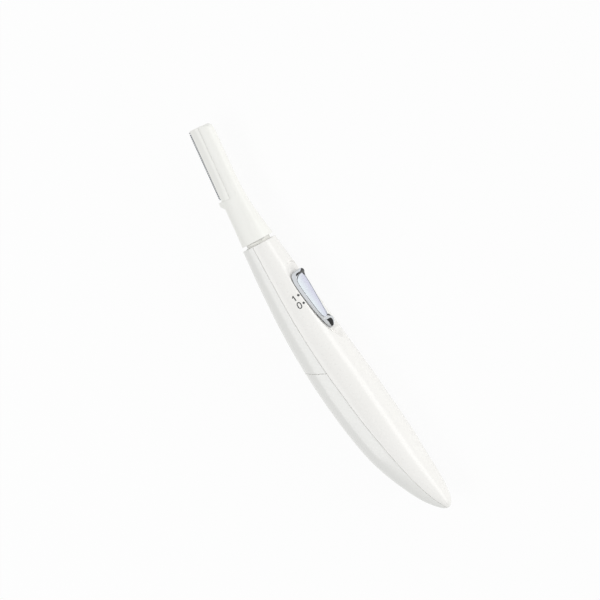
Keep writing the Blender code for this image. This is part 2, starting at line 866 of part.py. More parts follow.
def make_motor():
    shell = part("motor_can", rod("X", motor_radius, motor_low, motor_top, sides=40), nickel, drive_axis)
    flat = box((-far_reach, -far_reach, -motor_flat), (far_reach, far_reach, motor_flat))
    keep(shell, tool(flat, drive_axis))
    hollow_high = motor_top - motor_wall
    hollow = tool(rod("X", motor_radius - motor_wall, -far_reach, hollow_high, sides=40), drive_axis)
    flat_high = motor_flat - motor_wall
    flat = box((-far_reach, -far_reach, -flat_high), (far_reach, far_reach, flat_high))
    keep(hollow, tool(flat, drive_axis))
    join(shell, tool(rod("X", bush_radius, hollow_high, bush_top), drive_axis))
    cut(shell, hollow)
    cut(shell, tool(rod("X", bush_bore, -far_reach, 0, sides=16), drive_axis))

    bore = tool(rod("X", magnet_inner, -far_reach, 0, sides=40), drive_axis)
    for name, near_y, far_y in (
            ("motor_magnet_front", -far_reach, -magnet_part),
            ("motor_magnet_back", magnet_part, far_reach)):
        ring = rod("X", magnet_outer, magnet_low, magnet_top, sides=40)
        magnet = part(name, ring, magnet_grey, drive_axis)
        area = box((-far_reach, near_y, -magnet_half_side), (0, far_y, magnet_half_side))
        keep(magnet, tool(area, drive_axis))
        cut(magnet, bore)

    core = part(
        "motor_armature", rod("X", armature_radius, armature_low, armature_top, sides=30),
        copper, drive_axis)
    for index in range(3):
        slot = box((-far_reach, slot_reach, -slot_half), (0, far_reach, slot_half))
        slot.transform(Matrix.Rotation(2 * math.pi * index / 3, 4, "X"))
        cut(core, tool(slot, drive_axis))
    cut(core, tool(rod("X", shaft_radius + gap, -far_reach, 0, sides=16), drive_axis))

    part("motor_shaft", rod("X", shaft_radius, shaft_low, shaft_top, sides=16), steel, drive_axis)

    end = part("motor_end_cap", rod("X", cap_radius, cap_low, cap_top, sides=40), grey_plastic, drive_axis)
    flat = box((-far_reach, -far_reach, -motor_flat), (far_reach, far_reach, motor_flat))
    keep(end, tool(flat, drive_axis))
    cut(end, tool(rod("X", shaft_radius + gap, shaft_low - gap, 0, sides=16), drive_axis))
    for side in (-tab_offset, tab_offset):
        low = (-far_reach, side - tab_half - gap, -tab_half_side - gap)
        high = (0, side + tab_half + gap, tab_half_side + gap)
        cut(end, tool(box(low, high), drive_axis))

    for name, side in (("motor_terminal_front", -tab_offset), ("motor_terminal_back", tab_offset)):
        low = (tab_low, side - tab_half, -tab_half_side)
        part(name, box(low, (cap_top, side + tab_half, tab_half_side)), brass, drive_axis)

    disc = part("eccentric_cam", rod("X", cam_radius, cam_low, cam_top, sides=30), acetal, drive_axis)
    join(disc, tool(rod("X", cam_pin_radius, cam_low, cam_pin_top, (0, cam_throw), sides=16), drive_axis))
    cut(disc, tool(rod("X", shaft_radius + gap, -far_reach, shaft_top + gap, sides=16), drive_axis))


make_motor()


def make_cell():
    inner = cell_radius - cell_sleeve - gap
    made = part(
        "battery_cell", rod("X", inner, -cell_length, -cell_nub_height, sides=36), nickel, cell_axis)
    join(made, tool(rod("X", cell_nub_radius, -cell_edge * 2, 0, sides=20), cell_axis))
    sleeve_low = -cell_length + cell_edge
    sleeve_high = -cell_nub_height - cell_edge
    sleeve = part(
        "battery_cell_sleeve", rod("X", cell_radius, sleeve_low, sleeve_high, sides=36), label, cell_axis)
    cut(sleeve, tool(rod("X", inner + gap, -long_reach, long_reach, sides=36), cell_axis))


make_cell()


# A bent strip seen edge on: an open line given an even thickness
def ribbon(line, half):
    points = [Vector(point) for point in line]
    left = []
    right = []
    for index, point in enumerate(points):
        before = (point - points[index - 1]).normalized() if index else None
        after = (points[index + 1] - point).normalized() if index < len(points) - 1 else None
        before = before or after
        after = after or before
        bisector = (before + after).normalized()
        side = Vector((-bisector.y, bisector.x))
        reach = half / max(bisector.dot(before), 0.5)
        left.append(point + side * reach)
        right.append(point - side * reach)
    return [(point.x, point.y) for point in left + right[::-1]]


def to_cell(x, y):
    turn = Matrix.Rotation(-cell_lean, 2)
    return tuple(turn @ Vector((x - cell_head_x, y - cell_head_y)))


def make_contacts():
    line = ((positive_x, positive_front), (positive_x, positive_back))
    made = part(
        "positive_contact", plate(ribbon(line, leaf_half), -positive_half_side, positive_half_side),
        nickel, root)
    line = ((positive_x, positive_back - leaf_half), (positive_end_x, positive_back - leaf_half))
    lead = plate(ribbon(line, leaf_half), -positive_lead_half, positive_lead_half)
    join(made, tool(lead, root))

    line = (
        (-cell_length - strip_tail, strip_plate_back), (-cell_length - strip_tail, -strip_depth),
        (to_cell(strip_turn_x, 0)[0], -strip_depth), to_cell(strip_turn_x, switch_pad_y),
        to_cell(switch_pad_x, switch_pad_y))
    part("negative_contact", plate(ribbon(line, leaf_half), strip_far, strip_near), nickel, cell_axis)

    line = (
        (switch_pad_x, switch_pad_y), (return_turn_x, switch_pad_y), (return_turn_x, return_end_y))
    part("switch_contact", plate(ribbon(line, leaf_half), return_far, return_near), brass, root)

    low = (bridge_head_x - bridge_length, bridge_front, strip_far)
    part("switch_bridge", box(low, (bridge_head_x, bridge_back, return_near)), brass, root)


# A coil that widens from its small end, flat turns at both ends left out
def coil(small, large, length, turns):
    curve = bpy.data.curves.new("coil", "CURVE")
    curve.dimensions = "3D"
    curve.bevel_depth = coil_wire
    curve.bevel_resolution = 1
    curve.use_fill_caps = True
    spline = curve.splines.new("POLY")
    count = turns * coil_points_a_turn
    spline.points.add(count)
    for index, point in enumerate(spline.points):
        share = index / count
        radius = small + (large - small) * share
        angle = 2 * math.pi * turns * share
        point.co = (-length * share, radius * math.cos(angle), radius * math.sin(angle), 1)
    holder = bpy.data.objects.new("coil", curve)
    mesh = bpy.data.meshes.new_from_object(holder)
    bpy.data.objects.remove(holder)
    bpy.data.curves.remove(curve)
    return weld(mesh)


def make_negative():
    mesh = coil(coil_small, coil_large, coil_rest, coil_turns)
    mesh.transform(Matrix.Translation((-cell_length - gap - coil_wire, 0, 0)))
    part("negative_spring", mesh, nickel, cell_axis)


make_contacts()
make_negative()


# Inner frame: rails for the swivel, motor cradle, cell trough and three walls
def make_chassis():
    high = box((bulkhead_low, -far_reach, -far_reach), (bulkhead_top, far_reach, far_reach))
    made = part("chassis", high, grey_plastic, drive_axis)
    for side in (-1, 1):
        edges = sorted((side * rail_inner, side * rail_outer))
        rail = box(
            (bulkhead_middle, -rail_half_depth, edges[0]), (rail_top, rail_half_depth, edges[1]))
        join(made, tool(rail, drive_axis))

    outer = motor_radius + gap + cradle_thick
    cradle = tool(rod("X", outer, cap_low - overrun, bulkhead_middle, sides=40), drive_axis)
    area = box((-long_reach, -far_reach, -cradle_half), (long_reach, cradle_back, cradle_half))
    keep(cradle, tool(area, drive_axis))
    join(made, cradle)

    outer = cell_radius + gap + trough_thick
    trough = tool(rod("X", outer, -cell_length - trough_tail, trough_head, sides=40), cell_axis)
    area = box((-long_reach, -far_reach, -trough_half), (long_reach, trough_back, trough_half))
    keep(trough, tool(area, cell_axis))
    join(made, trough)

    low = (mid_tail_x, mid_front, -far_reach)
    join(made, tool(box(low, (mid_head_x, mid_back, far_reach)), root))
    low = (tail_wall_tail_x, -far_reach, -far_reach)
    join(made, tool(box(low, (tail_wall_head_x, far_reach, far_reach)), root))
    keep(made, tool(body_form(chassis_inset, cavity_first_share, cavity_last_share, body_steps), root))

    cut(made, tool(rod("X", motor_radius + gap, -long_reach, bulkhead_low, sides=40), drive_axis))
    cut(made, tool(rod("X", bush_radius + gap, -far_reach, 0, sides=30), drive_axis))
    cut(made, tool(rod("X", cell_radius + gap, -cell_length - gap, gap * 3, sides=40), cell_axis))
    seat = -cell_length - coil_rest - coil_wire * 2 - gap * 2
    cut(made, tool(rod("X", coil_large + coil_wire + gap, seat, -cell_length, sides=30), cell_axis))
    low = (-cell_length - groove_tail, -groove_depth, strip_far - gap)
    groove = box(low, (to_cell(strip_turn_x, 0)[0] + gap * 2, -cell_radius + gap, strip_near + gap))
    cut(made, tool(groove, cell_axis))
    low = (-cell_length - groove_tail, -groove_depth, strip_far - gap)
    plate_way = box(low, (-cell_length, strip_plate_back + gap * 2, strip_near + gap))
    cut(made, tool(plate_way, cell_axis))
    low = (mid_tail_x - overrun, positive_back - leaf_half * 2 - gap, -positive_lead_half - gap)
    high = (mid_head_x + overrun, positive_back + gap, positive_lead_half + gap)
    cut(made, tool(box(low, high), root))
    for place in (0, lever_pivot):
        hole = rod("Z", lever_pin_radius + pin_gap, -far_reach, far_reach, (place, 0))
        cut(made, tool(hole, drive_axis))
    low = (window_tail_x, -far_reach, -window_half)
    cut(made, tool(box(low, (window_head_x, window_back, window_half)), root))
    low = (pad_tail_end - gap, -far_reach, -far_reach)
    cut(made, tool(box(low, (long_reach, pad_back + gap, far_reach)), root))
    low = (return_turn_x - leaf_half - gap, -far_reach, return_far - gap)
    high = (return_turn_x + leaf_half + gap, return_end_y + gap, return_near + gap)
    cut(made, tool(box(low, high), root))
    for side in (-screw_side, screw_side):
        middle = (screw_x, side)
        cut(made, tool(rod("Y", screw_radius + gap, -far_reach, far_reach, middle), root))
        cut(made, tool(rod("Y", boss_radius + gap, -far_reach, boss_back + gap, middle), root))
        cut(made, tool(rod("Y", screw_head_radius + gap, screw_head_seat - gap, far_reach, middle), root))


make_chassis()


def make_screws():
    for name, side in (("chassis_screw_near", screw_side), ("chassis_screw_far", -screw_side)):
        middle = (screw_x, side)
        shank = rod("Y", screw_radius, screw_tip, screw_head_seat + gap, middle)
        made = part(name, shank, steel, root)
        head = rod("Y", screw_head_radius, screw_head_seat, screw_head_seat + screw_head_height, middle)
        join(made, tool(head, root))


make_screws()


def head_form():
    rings = []
    for index in range(head_steps + 1):
        even = index / head_steps
        first = head_shares[0][0]
        along = first + (1 - first) * even
        front, back, half, power, thinning = (blend(head_shares, along, column) for column in range(1, 6))
        low_y = -front * head_front
        high_y = back * head_back
        rings.append(power_ring(
            along * head_reach, (low_y + high_y) / 2, (high_y - low_y) / 2, half * head_half,
            power, head_ring_count, thinning))
    return loft(rings)


# Two flat sides on the paddle, each running out on a short ramp toward the neck
def flatten_head(made):
    end = head_reach + overrun
    outline = [
        (ramp_low, ramp_half), (face_low, face_half), (end, face_half), (end, far_reach),
        (ramp_low, far_reach)]
    cut(made, tool(plate(outline, -far_reach, far_reach, "Y"), head_axis))
    outline = [(x, -z) for x, z in outline]
    cut(made, tool(plate(outline, -far_reach, far_reach, "Y"), head_axis))


def make_head():
    made = part("head_frame", head_form(), pearl, head_axis)
    flatten_head(made)
    foot = tool(box((-far_reach, -far_reach, -far_reach), (foot_rise, far_reach, far_reach)), rim_plane)
    cut(made, foot)
    outline = [
        (guard_low - guard_run, guard_front), (guard_low, guard_back - guard_ease),
        (guard_low + guard_ease, guard_back), (guard_high, guard_back), (guard_high, guard_front)]
    join(made, tool(plate(outline, -guard_half, guard_half), head_axis))
    slot = box((slot_low, slot_front, slot_floor), (head_reach + overrun, far_reach, far_reach))
    cut(made, tool(slot, head_axis))
    for place in (stud_low_x, stud_high_x):
        stud = rod("Z", stud_radius, slot_floor - gap, stud_top, (place, stud_y), sides=20)
        join(made, tool(stud, head_axis))
    rings = []
    for x in (-overrun, socket_high):
        rings.append(power_ring(
            x, tenon_middle, tenon_half_depth + gap, tenon_half_side + gap, neck_power, head_ring_count))
    cut(made, tool(loft(rings), head_axis))
    chamber = box((0, chamber_front, -chamber_half), (chamber_high, chamber_back, chamber_half))
    cut(made, tool(chamber, head_axis))
    low = (socket_high, slider_way_front, -slider_way_half)
    way = box(low, (slot_low + overrun / 4, chamber_back, slider_way_half))
    cut(made, tool(way, head_axis))
    hole = rod("Z", crank_pin_radius + pin_gap, -crank_pin_half - gap, crank_pin_half + gap, (crank_x, 0))
    cut(made, tool(hole, head_axis))

    cover = part("blade_cover", head_form(), ivory, head_axis)
    flatten_head(cover)
    low = (slot_low + gap, slot_front + gap, cover_floor)
    area = box(low, (head_reach + overrun, far_reach, far_reach))
    keep(cover, tool(area, head_axis))


make_head()


# Comb outline: a straight strip whose blade edge carries even teeth
def comb(low, high, front, base, tip, teeth):
    pitch = (high - low) / (teeth + (tooth_fall_share - 1))
    outline = [(high, front), (low, front)]
    for index in range(teeth):
        start = low + index * pitch
        outline.append((start, base))
        outline.append((start + tooth_rise_share * pitch, tip))
        outline.append((start + tooth_tip_share * pitch, tip))
        outline.append((start + tooth_fall_share * pitch, base))
    return outline


def make_blades():
    outline = comb(comb_low, comb_high, comb_front, comb_root, comb_tip, comb_teeth)
    made = part("fixed_blade", plate(outline, comb_under, comb_over), dark_steel, head_axis)
    for place in (stud_low_x, stud_high_x):
        hole = rod("Z", stud_radius + gap, -far_reach, far_reach, (place, stud_y), sides=20)
        cut(made, tool(hole, head_axis))

    outline = comb(cutter_low, cutter_high, cutter_front, cutter_root, cutter_tip, cutter_teeth)
    made = part("moving_blade", plate(outline, cutter_under, cutter_over), steel, head_axis)
    tail = box((tail_low, tail_front, cutter_under), (cutter_low + overrun / 4, tail_back, cutter_over))
    join(made, tool(tail, head_axis))
    wide = stud_radius + gap
    for place in (stud_low_x, stud_high_x):
        low = (place - wide - stroke, stud_y - wide, -far_reach)
        high = (place + wide + stroke, stud_y + wide, far_reach)
        cut(made, tool(box(low, high), head_axis))

    low = (slider_low, slider_front, -slider_half)
    made = part("blade_slider", box(low, (slider_high, slider_back, slider_half)), acetal, head_axis)
    step = box((slider_step, -far_reach, cutter_under - gap), (far_reach, far_reach, far_reach))
    cut(made, tool(step, head_axis))
    half = crank_ball_radius + gap
    pocket = box((crank_x - half, 0, -far_reach), (crank_x + half, crank_ball_y + half, far_reach))
    cut(made, tool(pocket, head_axis))


make_blades()


def make_crank():
    boss = rod("Z", crank_boss, -crank_half_side, crank_half_side, (crank_x, 0))
    made = part("bell_crank", boss, acetal, head_axis, (crank_x, 0, 0))
    low = (crank_fork_high, -crank_arm_half, -crank_half_side)
    join(made, tool(box(low, (crank_x, crank_arm_half, crank_half_side)), head_axis))
    low = (crank_fork_low, -crank_fork_outer, -crank_half_side)
    fork = tool(box(low, (crank_fork_bridge, crank_fork_outer, crank_half_side)), head_axis)
    low = (-far_reach, -crank_fork_inner, -far_reach)
    cut(fork, tool(box(low, (crank_fork_high, crank_fork_inner, far_reach)), head_axis))
    join(made, fork)
    low = (crank_x - crank_side_half, 0, -crank_half_side)
    neck_y = crank_ball_y - crank_ball_radius
    high = (crank_x + crank_side_half, slider_front - gap * 3, crank_half_side)
    join(made, tool(box(low, high), head_axis))
    low = (crank_x - crank_ball_radius / 2, 0, -crank_half_side)
    join(made, tool(box(low, (crank_x + crank_ball_radius / 2, neck_y + gap, crank_half_side)), head_axis))
    ball = rod("Z", crank_ball_radius, -crank_half_side, crank_half_side, (crank_x, crank_ball_y), sides=20)
    join(made, tool(ball, head_axis))
    hole = rod("Z", crank_pin_radius + pin_gap, -far_reach, far_reach, (crank_x, 0))
    cut(made, tool(hole, head_axis))
    pin = rod("Z", crank_pin_radius, -crank_pin_half, crank_pin_half, (crank_x, 0))
    part("crank_pin", pin, steel, head_axis)


make_crank()
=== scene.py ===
import math

import bmesh
import bpy
from mathutils import Matrix, Vector
from mathutils.bvhtree import BVHTree


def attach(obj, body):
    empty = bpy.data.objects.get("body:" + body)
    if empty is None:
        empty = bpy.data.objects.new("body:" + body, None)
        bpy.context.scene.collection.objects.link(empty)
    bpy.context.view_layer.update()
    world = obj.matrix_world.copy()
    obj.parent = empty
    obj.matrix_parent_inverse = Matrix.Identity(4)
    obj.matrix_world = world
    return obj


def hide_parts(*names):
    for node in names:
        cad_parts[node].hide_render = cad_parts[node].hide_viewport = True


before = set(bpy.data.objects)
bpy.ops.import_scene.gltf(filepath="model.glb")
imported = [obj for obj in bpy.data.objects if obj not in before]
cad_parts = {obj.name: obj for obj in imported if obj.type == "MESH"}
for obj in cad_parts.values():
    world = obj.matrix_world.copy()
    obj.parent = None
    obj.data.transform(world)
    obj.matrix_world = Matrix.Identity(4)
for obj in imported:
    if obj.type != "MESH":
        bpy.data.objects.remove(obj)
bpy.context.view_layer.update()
print("stage: frame loaded")


def addObject(name, data):
    made = bpy.data.objects.new(name, data)
    bpy.context.scene.collection.objects.link(made)
    return made


# Where the shaver's own axes lie, in metres: it rests on its side, head toward +X
layout = {
    "lift": 0.00798,
    "shiftBack": -0.007315,
    "swivel": (0.029325, 0.0067),
    "headAngle": math.radians(10.4),
    "rim": (0.0318, 0.0066),
    "rimTilt": math.radians(6.0),
}
bodySpace = Matrix.Translation((0, layout["shiftBack"], layout["lift"]))
headSpace = (bodySpace @ Matrix.Translation((*layout["swivel"], 0))
             @ Matrix.Rotation(-layout["headAngle"], 4, "Z"))
rimSpace = (bodySpace @ Matrix.Translation((*layout["rim"], 0))
            @ Matrix.Rotation(-layout["rimTilt"], 4, "Z"))

# Camera: the photograph looks down on the side that carries the switch scale
view = {
    "tilt": math.radians(35),
    "alongRight": -0.544,
    "alongUp": 0.839,
    "distance": 0.826,
    "lens": 150,
    "sensor": 36,
    "aim": (-0.000475, -0.007315, 0.00798),
    "aimRight": -0.008424,
    "aimUp": 0.005451,
}
crossAxis = Vector((0, math.cos(view["tilt"]), math.sin(view["tilt"])))
rightAxis = Vector((view["alongRight"], 0, 0)) - view["alongUp"] * crossAxis
upAxis = Vector((view["alongUp"], 0, 0)) + view["alongRight"] * crossAxis
rightAxis.normalize()
upAxis.normalize()
backAxis = rightAxis.cross(upAxis)
aim = Vector(view["aim"]) + rightAxis * view["aimRight"] + upAxis * view["aimUp"]

cameraData = bpy.data.cameras.new("photoCamera")
cameraData.lens = view["lens"]
cameraData.sensor_width = view["sensor"]
camera = addObject("photoCamera", cameraData)
camera.matrix_world = Matrix.Translation(aim + backAxis * view["distance"]) @ Matrix(
    (rightAxis, upAxis, backAxis)).transposed().to_4x4()
bpy.context.scene.camera = camera
bpy.context.scene.view_settings.view_transform = "Standard"


# An sRGB hex colour as Blender's linear one
def linear(code):
    parts = [int(code[place:place + 2], 16) / 255 for place in (1, 3, 5)]
    return (*[p / 12.92 if p <= 0.04045 else ((p + 0.055) / 1.055) ** 2.4 for p in parts], 1)


# Adds one node; settings hold its fields and socket values, links feed its sockets
def addNode(tree, kind, settings=None, links=None):
    node = tree.nodes.new(kind)
    for name, value in (settings or {}).items():
        if isinstance(name, int) or name[0].isupper():
            node.inputs[name].default_value = value
        else:
            setattr(node, name, value)
    for name, source in (links or {}).items():
        tree.links.new(source, node.inputs[name])
    return node


def newMaterial(name):
    made = bpy.data.materials.new(name)
    made.use_nodes = True
    made.node_tree.nodes.clear()
    return made, made.node_tree


millimetre = 0.001


# Every finish is one recipe: a broad cloud tints it, a fine grain roughens and dents it
def surfaceMaterial(name, look):
    look = {**plainFinish, **look}
    made, tree = newMaterial(name)
    place = addNode(tree, "ShaderNodeTexCoord")
    turn = addNode(tree, "ShaderNodeMapping", {"Scale": look["stretch"]},
                   {"Vector": place.outputs["Object"]})
    broad = addNode(tree, "ShaderNodeTexNoise",
                    {"Scale": 1 / (look["patch"] * millimetre), "Detail": 2.0, "Roughness": 0.5},
                    {"Vector": turn.outputs["Vector"]})
    fine = addNode(tree, "ShaderNodeTexNoise",
                   {"Scale": 1 / (look["grain"] * millimetre), "Detail": 3.0, "Roughness": 0.6},
                   {"Vector": turn.outputs["Vector"]})
    share = broad.outputs["Fac"]
    if "sweep" in look:  # the colour runs from one height to another, a little unevenly
        split = addNode(tree, "ShaderNodeSeparateXYZ", None, {0: place.outputs["Object"]})
        sweep = addNode(tree, "ShaderNodeMapRange",
                        {"From Min": look["sweep"][0] * millimetre,
                         "From Max": look["sweep"][1] * millimetre},
                        {"Value": split.outputs["Z"]})
        uneven = addNode(tree, "ShaderNodeMath", {"operation": "MULTIPLY_ADD", 1: 0.3, 2: -0.15},
                         {0: share})
        both = addNode(tree, "ShaderNodeMath", {"operation": "ADD", "use_clamp": True},
                       {0: sweep.outputs["Result"], 1: uneven.outputs[0]})
        share = both.outputs[0]
    tint = addNode(tree, "ShaderNodeMix", {"data_type": "RGBA"}, {0: share})
    tint.inputs[6].default_value, tint.inputs[7].default_value = map(linear, look["colour"])
    gloss = addNode(tree, "ShaderNodeMapRange",
                    {"From Min": 0.3, "From Max": 0.7, "To Min": look["roughness"][0],
                     "To Max": look["roughness"][1]}, {"Value": fine.outputs["Fac"]})
    relief = addNode(tree, "ShaderNodeBump",
                     {"Strength": look["bump"], "Distance": look["bumpHeight"] * millimetre},
                     {"Height": fine.outputs["Fac"]})
    shader = addNode(tree, "ShaderNodeBsdfPrincipled", look["shader"],
                     {"Base Color": tint.outputs[2], "Roughness": gloss.outputs["Result"],
                      "Normal": relief.outputs["Normal"]})
    addNode(tree, "ShaderNodeOutputMaterial", None, {"Surface": shader.outputs["BSDF"]})
    return made


# What a finish has where it says nothing else
plainFinish = {"stretch": (1, 1, 1), "bump": 0.02, "bumpHeight": 0.01}
# The two colours and roughnesses that a finish wanders between, and its sizes in millimetres
looks = {
    # Injection moulded ABS with mica: nearly white, a wet shine, a slow cloudiness
    "pearlAbs": {
        "colour": ("#f3f1ee", "#efede9"), "patch": 14, "grain": 0.9,
        "roughness": (0.26, 0.32), "bumpHeight": 0.02,
        "shader": {"IOR": 1.5, "Coat Weight": 0.2, "Coat Roughness": 0.16},
    },
    # The covers' ABS: the same shine, a shade greyer
    "shadeAbs": {
        "colour": ("#ecebe7", "#e8e7e4"), "patch": 14, "grain": 0.9,
        "roughness": (0.2, 0.27), "bumpHeight": 0.02,
        "shader": {"IOR": 1.53, "Coat Weight": 0.25, "Coat Roughness": 0.08},
    },
    # Satin ABS of head and neck: softer highlights, a trace of spark-eroded grain
    "satinAbs": {
        "colour": ("#f5f4ef", "#f1f0eb"), "patch": 9, "grain": 0.35,
        "roughness": (0.36, 0.44), "bump": 0.05, "bumpHeight": 0.02,
        "shader": {"IOR": 1.53},
    },
    # Chromium over moulded ABS: a mirror with the softness of a plated moulding
    "platedChrome": {
        "colour": ("#d6d9dc", "#ced1d5"), "patch": 4, "grain": 0.6,
        "roughness": (0.07, 0.12),
        "shader": {"Metallic": 1.0},
    },
    # Glossy black painted on parts of the knob as painted dark reflections and painted shade on
    # the chrome: deep and wet
    "paintedReflectionBlack": {
        "colour": ("#101112", "#17181a"), "patch": 2, "grain": 0.4,
        "roughness": (0.08, 0.14),
        "shader": {"IOR": 1.5},
    },
    # Clear acrylic over silver-blue foil: cool and pearly under a hard gloss
    "foiledAcrylic": {
        "colour": ("#e3ebf0", "#cfd0e2"), "sweep": (10.1, 6.4),
        "patch": 5, "grain": 0.25, "roughness": (0.25, 0.34),
        "shader": {"Metallic": 0.35, "Coat Weight": 1.0, "Coat Roughness": 0.04, "IOR": 1.49},
    },
    # Stamped and ground blade steel: fine scratches across the edge, a dark glint
    "groundSteel": {
        "colour": ("#5d5f62", "#4e5053"), "patch": 3, "grain": 0.2,
        "stretch": (6, 0.6, 1), "roughness": (0.28, 0.4), "bump": 0.15,
        "shader": {"Metallic": 1.0},
    },
    # Drawn steel pins and shafts: bright, drawn lines along the bar
    "drawnSteel": {
        "colour": ("#a9abad", "#989a9d"), "patch": 3, "grain": 0.2,
        "stretch": (0.5, 4, 4), "roughness": (0.2, 0.32), "bump": 0.1,
        "shader": {"Metallic": 1.0},
    },
    # Deep-drawn, nickel-plated sheet: warm grey mirror, slightly uneven
    "nickelSheet": {
        "colour": ("#bdb8ae", "#aea99f"), "patch": 5, "grain": 0.5,
        "roughness": (0.18, 0.3), "bump": 0.08,
        "shader": {"Metallic": 1.0},
    },
    # Rolled brass strip: yellow, with rolling lines along the strip
    "rolledBrass": {
        "colour": ("#c9a45c", "#b8924b"), "patch": 4, "grain": 0.3,
        "stretch": (0.5, 4, 4), "roughness": (0.24, 0.36), "bump": 0.1,
        "shader": {"Metallic": 1.0},
    },
    # Enamelled copper wire wound in layers: rows of fine ridges round the core
    "woundCopper": {
        "colour": ("#b5683a", "#8f4a26"), "patch": 2, "grain": 0.25,
        "stretch": (0.3, 5, 5), "roughness": (0.3, 0.45), "bump": 0.6, "bumpHeight": 0.05,
        "shader": {"Metallic": 0.9},
    },
    # Glass-filled nylon: dark, dull, with the grain of an eroded mould
    "filledNylon": {
        "colour": ("#3f4143", "#36383a"), "patch": 6, "grain": 0.3,
        "roughness": (0.5, 0.62), "bump": 0.2, "bumpHeight": 0.02,
        "shader": {"IOR": 1.53},
    },
    # Natural acetal: milky white, waxy and smooth
    "naturalAcetal": {
        "colour": ("#dcdcd6", "#d2d2cc"), "patch": 4, "grain": 0.4,
        "roughness": (0.34, 0.42), "bump": 0.05,
        "shader": {"IOR": 1.48},
    },
    # Sintered ferrite: charcoal, with pressed powder grain
    "sinteredFerrite": {
        "colour": ("#2c2c2e", "#222224"), "patch": 3, "grain": 0.2,
        "roughness": (0.6, 0.75), "bump": 0.3, "bumpHeight": 0.02,
        "shader": {"IOR": 1.5},
    },
    # Shrunk polymer sleeve on the cell: plain deep blue film with a soft shine
    "shrunkFilm": {
        "colour": ("#2f4a78", "#29416b"), "patch": 8, "grain": 0.4,
        "roughness": (0.28, 0.36), "bump": 0.05,
        "shader": {"IOR": 1.5, "Coat Weight": 0.3, "Coat Roughness": 0.1},
    },
    # Pad printed scale: a thin, matt, charcoal ink
    "padInk": {
        "colour": ("#444646", "#3c3e3e"), "patch": 1, "grain": 0.1,
        "roughness": (0.5, 0.6), "bump": 0.05, "bumpHeight": 0.005,
        "shader": {"IOR": 1.5},
    },
}
materials = {name: surfaceMaterial(name, look) for name, look in looks.items()}
print("stage: materials made")


# Smooth reading of one column of a table whose first column is the place
def readTable(rows, place, column):
    places = [row[0] for row in rows]
    values = [row[column] for row in rows]
    last = len(rows) - 1
    index = 0
    while index < last - 1 and place > places[index + 1]:
        index += 1
    slopes = []
    for spot in (index, index + 1):
        before, after = max(spot - 1, 0), min(spot + 1, last)
        slopes.append((values[after] - values[before]) / (places[after] - places[before]))
    span = places[index + 1] - places[index]
    t = (place - places[index]) / span
    level = ((2 * t ** 3 - 3 * t ** 2 + 1) * values[index]
             + (3 * t ** 2 - 2 * t ** 3) * values[index + 1])
    return level + ((t ** 3 - 2 * t ** 2 + t) * slopes[0] + (t ** 3 - t ** 2) * slopes[1]) * span


# A circle whose vertices are moved to the given places
def drawRing(shape, places, filled=True):
    ring = bmesh.ops.create_circle(
        shape, cap_ends=filled, segments=len(places), radius=1.0)["verts"]
    for vert, place in zip(ring, places):
        vert.co = place
    return ring


def ringEdges(shape, ring):
    return [shape.edges.get(pair) for pair in zip(ring, ring[1:] + ring[:1])]


# Draws a closed loop through every station in turn, from a ring that is extruded
def sweepLoops(shape, loops):
    ring = drawRing(shape, loops[0])
    for loop in loops[1:]:
        grown = bmesh.ops.extrude_edge_only(shape, edges=ringEdges(shape, ring))["geom"]
        fresh = {item for item in grown if isinstance(item, bmesh.types.BMVert)}
        ring = [next(edge.other_vert(vert) for edge in vert.link_edges
                     if edge.other_vert(vert) in fresh) for vert in ring]
        for vert, place in zip(ring, loop):
            vert.co = place
    bmesh.ops.contextual_create(shape, geom=ringEdges(shape, ring))


# Gives a flat shape its thickness
def thicken(shape, move):
    grown = bmesh.ops.extrude_face_region(shape, geom=shape.faces[:])["geom"]
    lifted = [item for item in grown if isinstance(item, bmesh.types.BMVert)]
    bmesh.ops.translate(shape, verts=lifted, vec=move)


# A flat outline pulled from one height to another, across the given axis
def pullOutline(outline, low, high, across):
    shape = bmesh.new()
    drawRing(shape, [(x, low, other) if across == "Y" else (x, other, low)
                     for x, other in outline])
    thicken(shape, (0, high - low, 0) if across == "Y" else (0, 0, high - low))
    return shape


# How far a cutter reaches past the piece that it cuts
past = 0.03


def blockShape(low, high):
    shape = bmesh.new()
    bmesh.ops.create_cube(shape, size=1)
    size = [end - start for start, end in zip(low, high)]
    middle = [(end + start) / 2 for start, end in zip(low, high)]
    bmesh.ops.transform(shape, verts=shape.verts,
                        matrix=Matrix.Translation(middle) @ Matrix.Diagonal((*size, 1)))
    return shape


# A round bar from one point to another
def barShape(start, end, radius, sides=32):
    shape = bmesh.new()
    start, end = Vector(start), Vector(end)
    turn = (end - start).to_track_quat("Z", "Y").to_matrix().to_4x4()
    bmesh.ops.create_cone(shape, cap_ends=True, segments=sides, radius1=radius, radius2=radius,
                          depth=(end - start).length,
                          matrix=Matrix.Translation((start + end) / 2) @ turn)
    return shape


def toMesh(shape, space=None):
    bmesh.ops.recalc_face_normals(shape, faces=shape.faces)
    mesh = bpy.data.meshes.new("shape")
    shape.to_mesh(mesh)
    shape.free()
    if space is not None:
        mesh.transform(space)
    return mesh


def cuts(*meshes):
    return [("DIFFERENCE", mesh) for mesh in meshes]


# Cuts, joins or keeps with other shapes; each step is (operation, mesh)
def carve(mesh, steps):
    target = addObject("carved", mesh)
    helpers = [addObject("helper", other) for _, other in steps]
    for (operation, _), helper in zip(steps, helpers):
        step = target.modifiers.new(operation.lower(), "BOOLEAN")
        step.operation = operation
        step.solver = "EXACT"
        step.object = helper
    bpy.context.view_layer.update()
    carved = bpy.data.meshes.new_from_object(
        target.evaluated_get(bpy.context.evaluated_depsgraph_get()))
    for item in [target, *helpers]:
        bpy.data.objects.remove(item, do_unlink=True)
    return carved


# Vertices closer than this are one vertex
weld = 0.000004


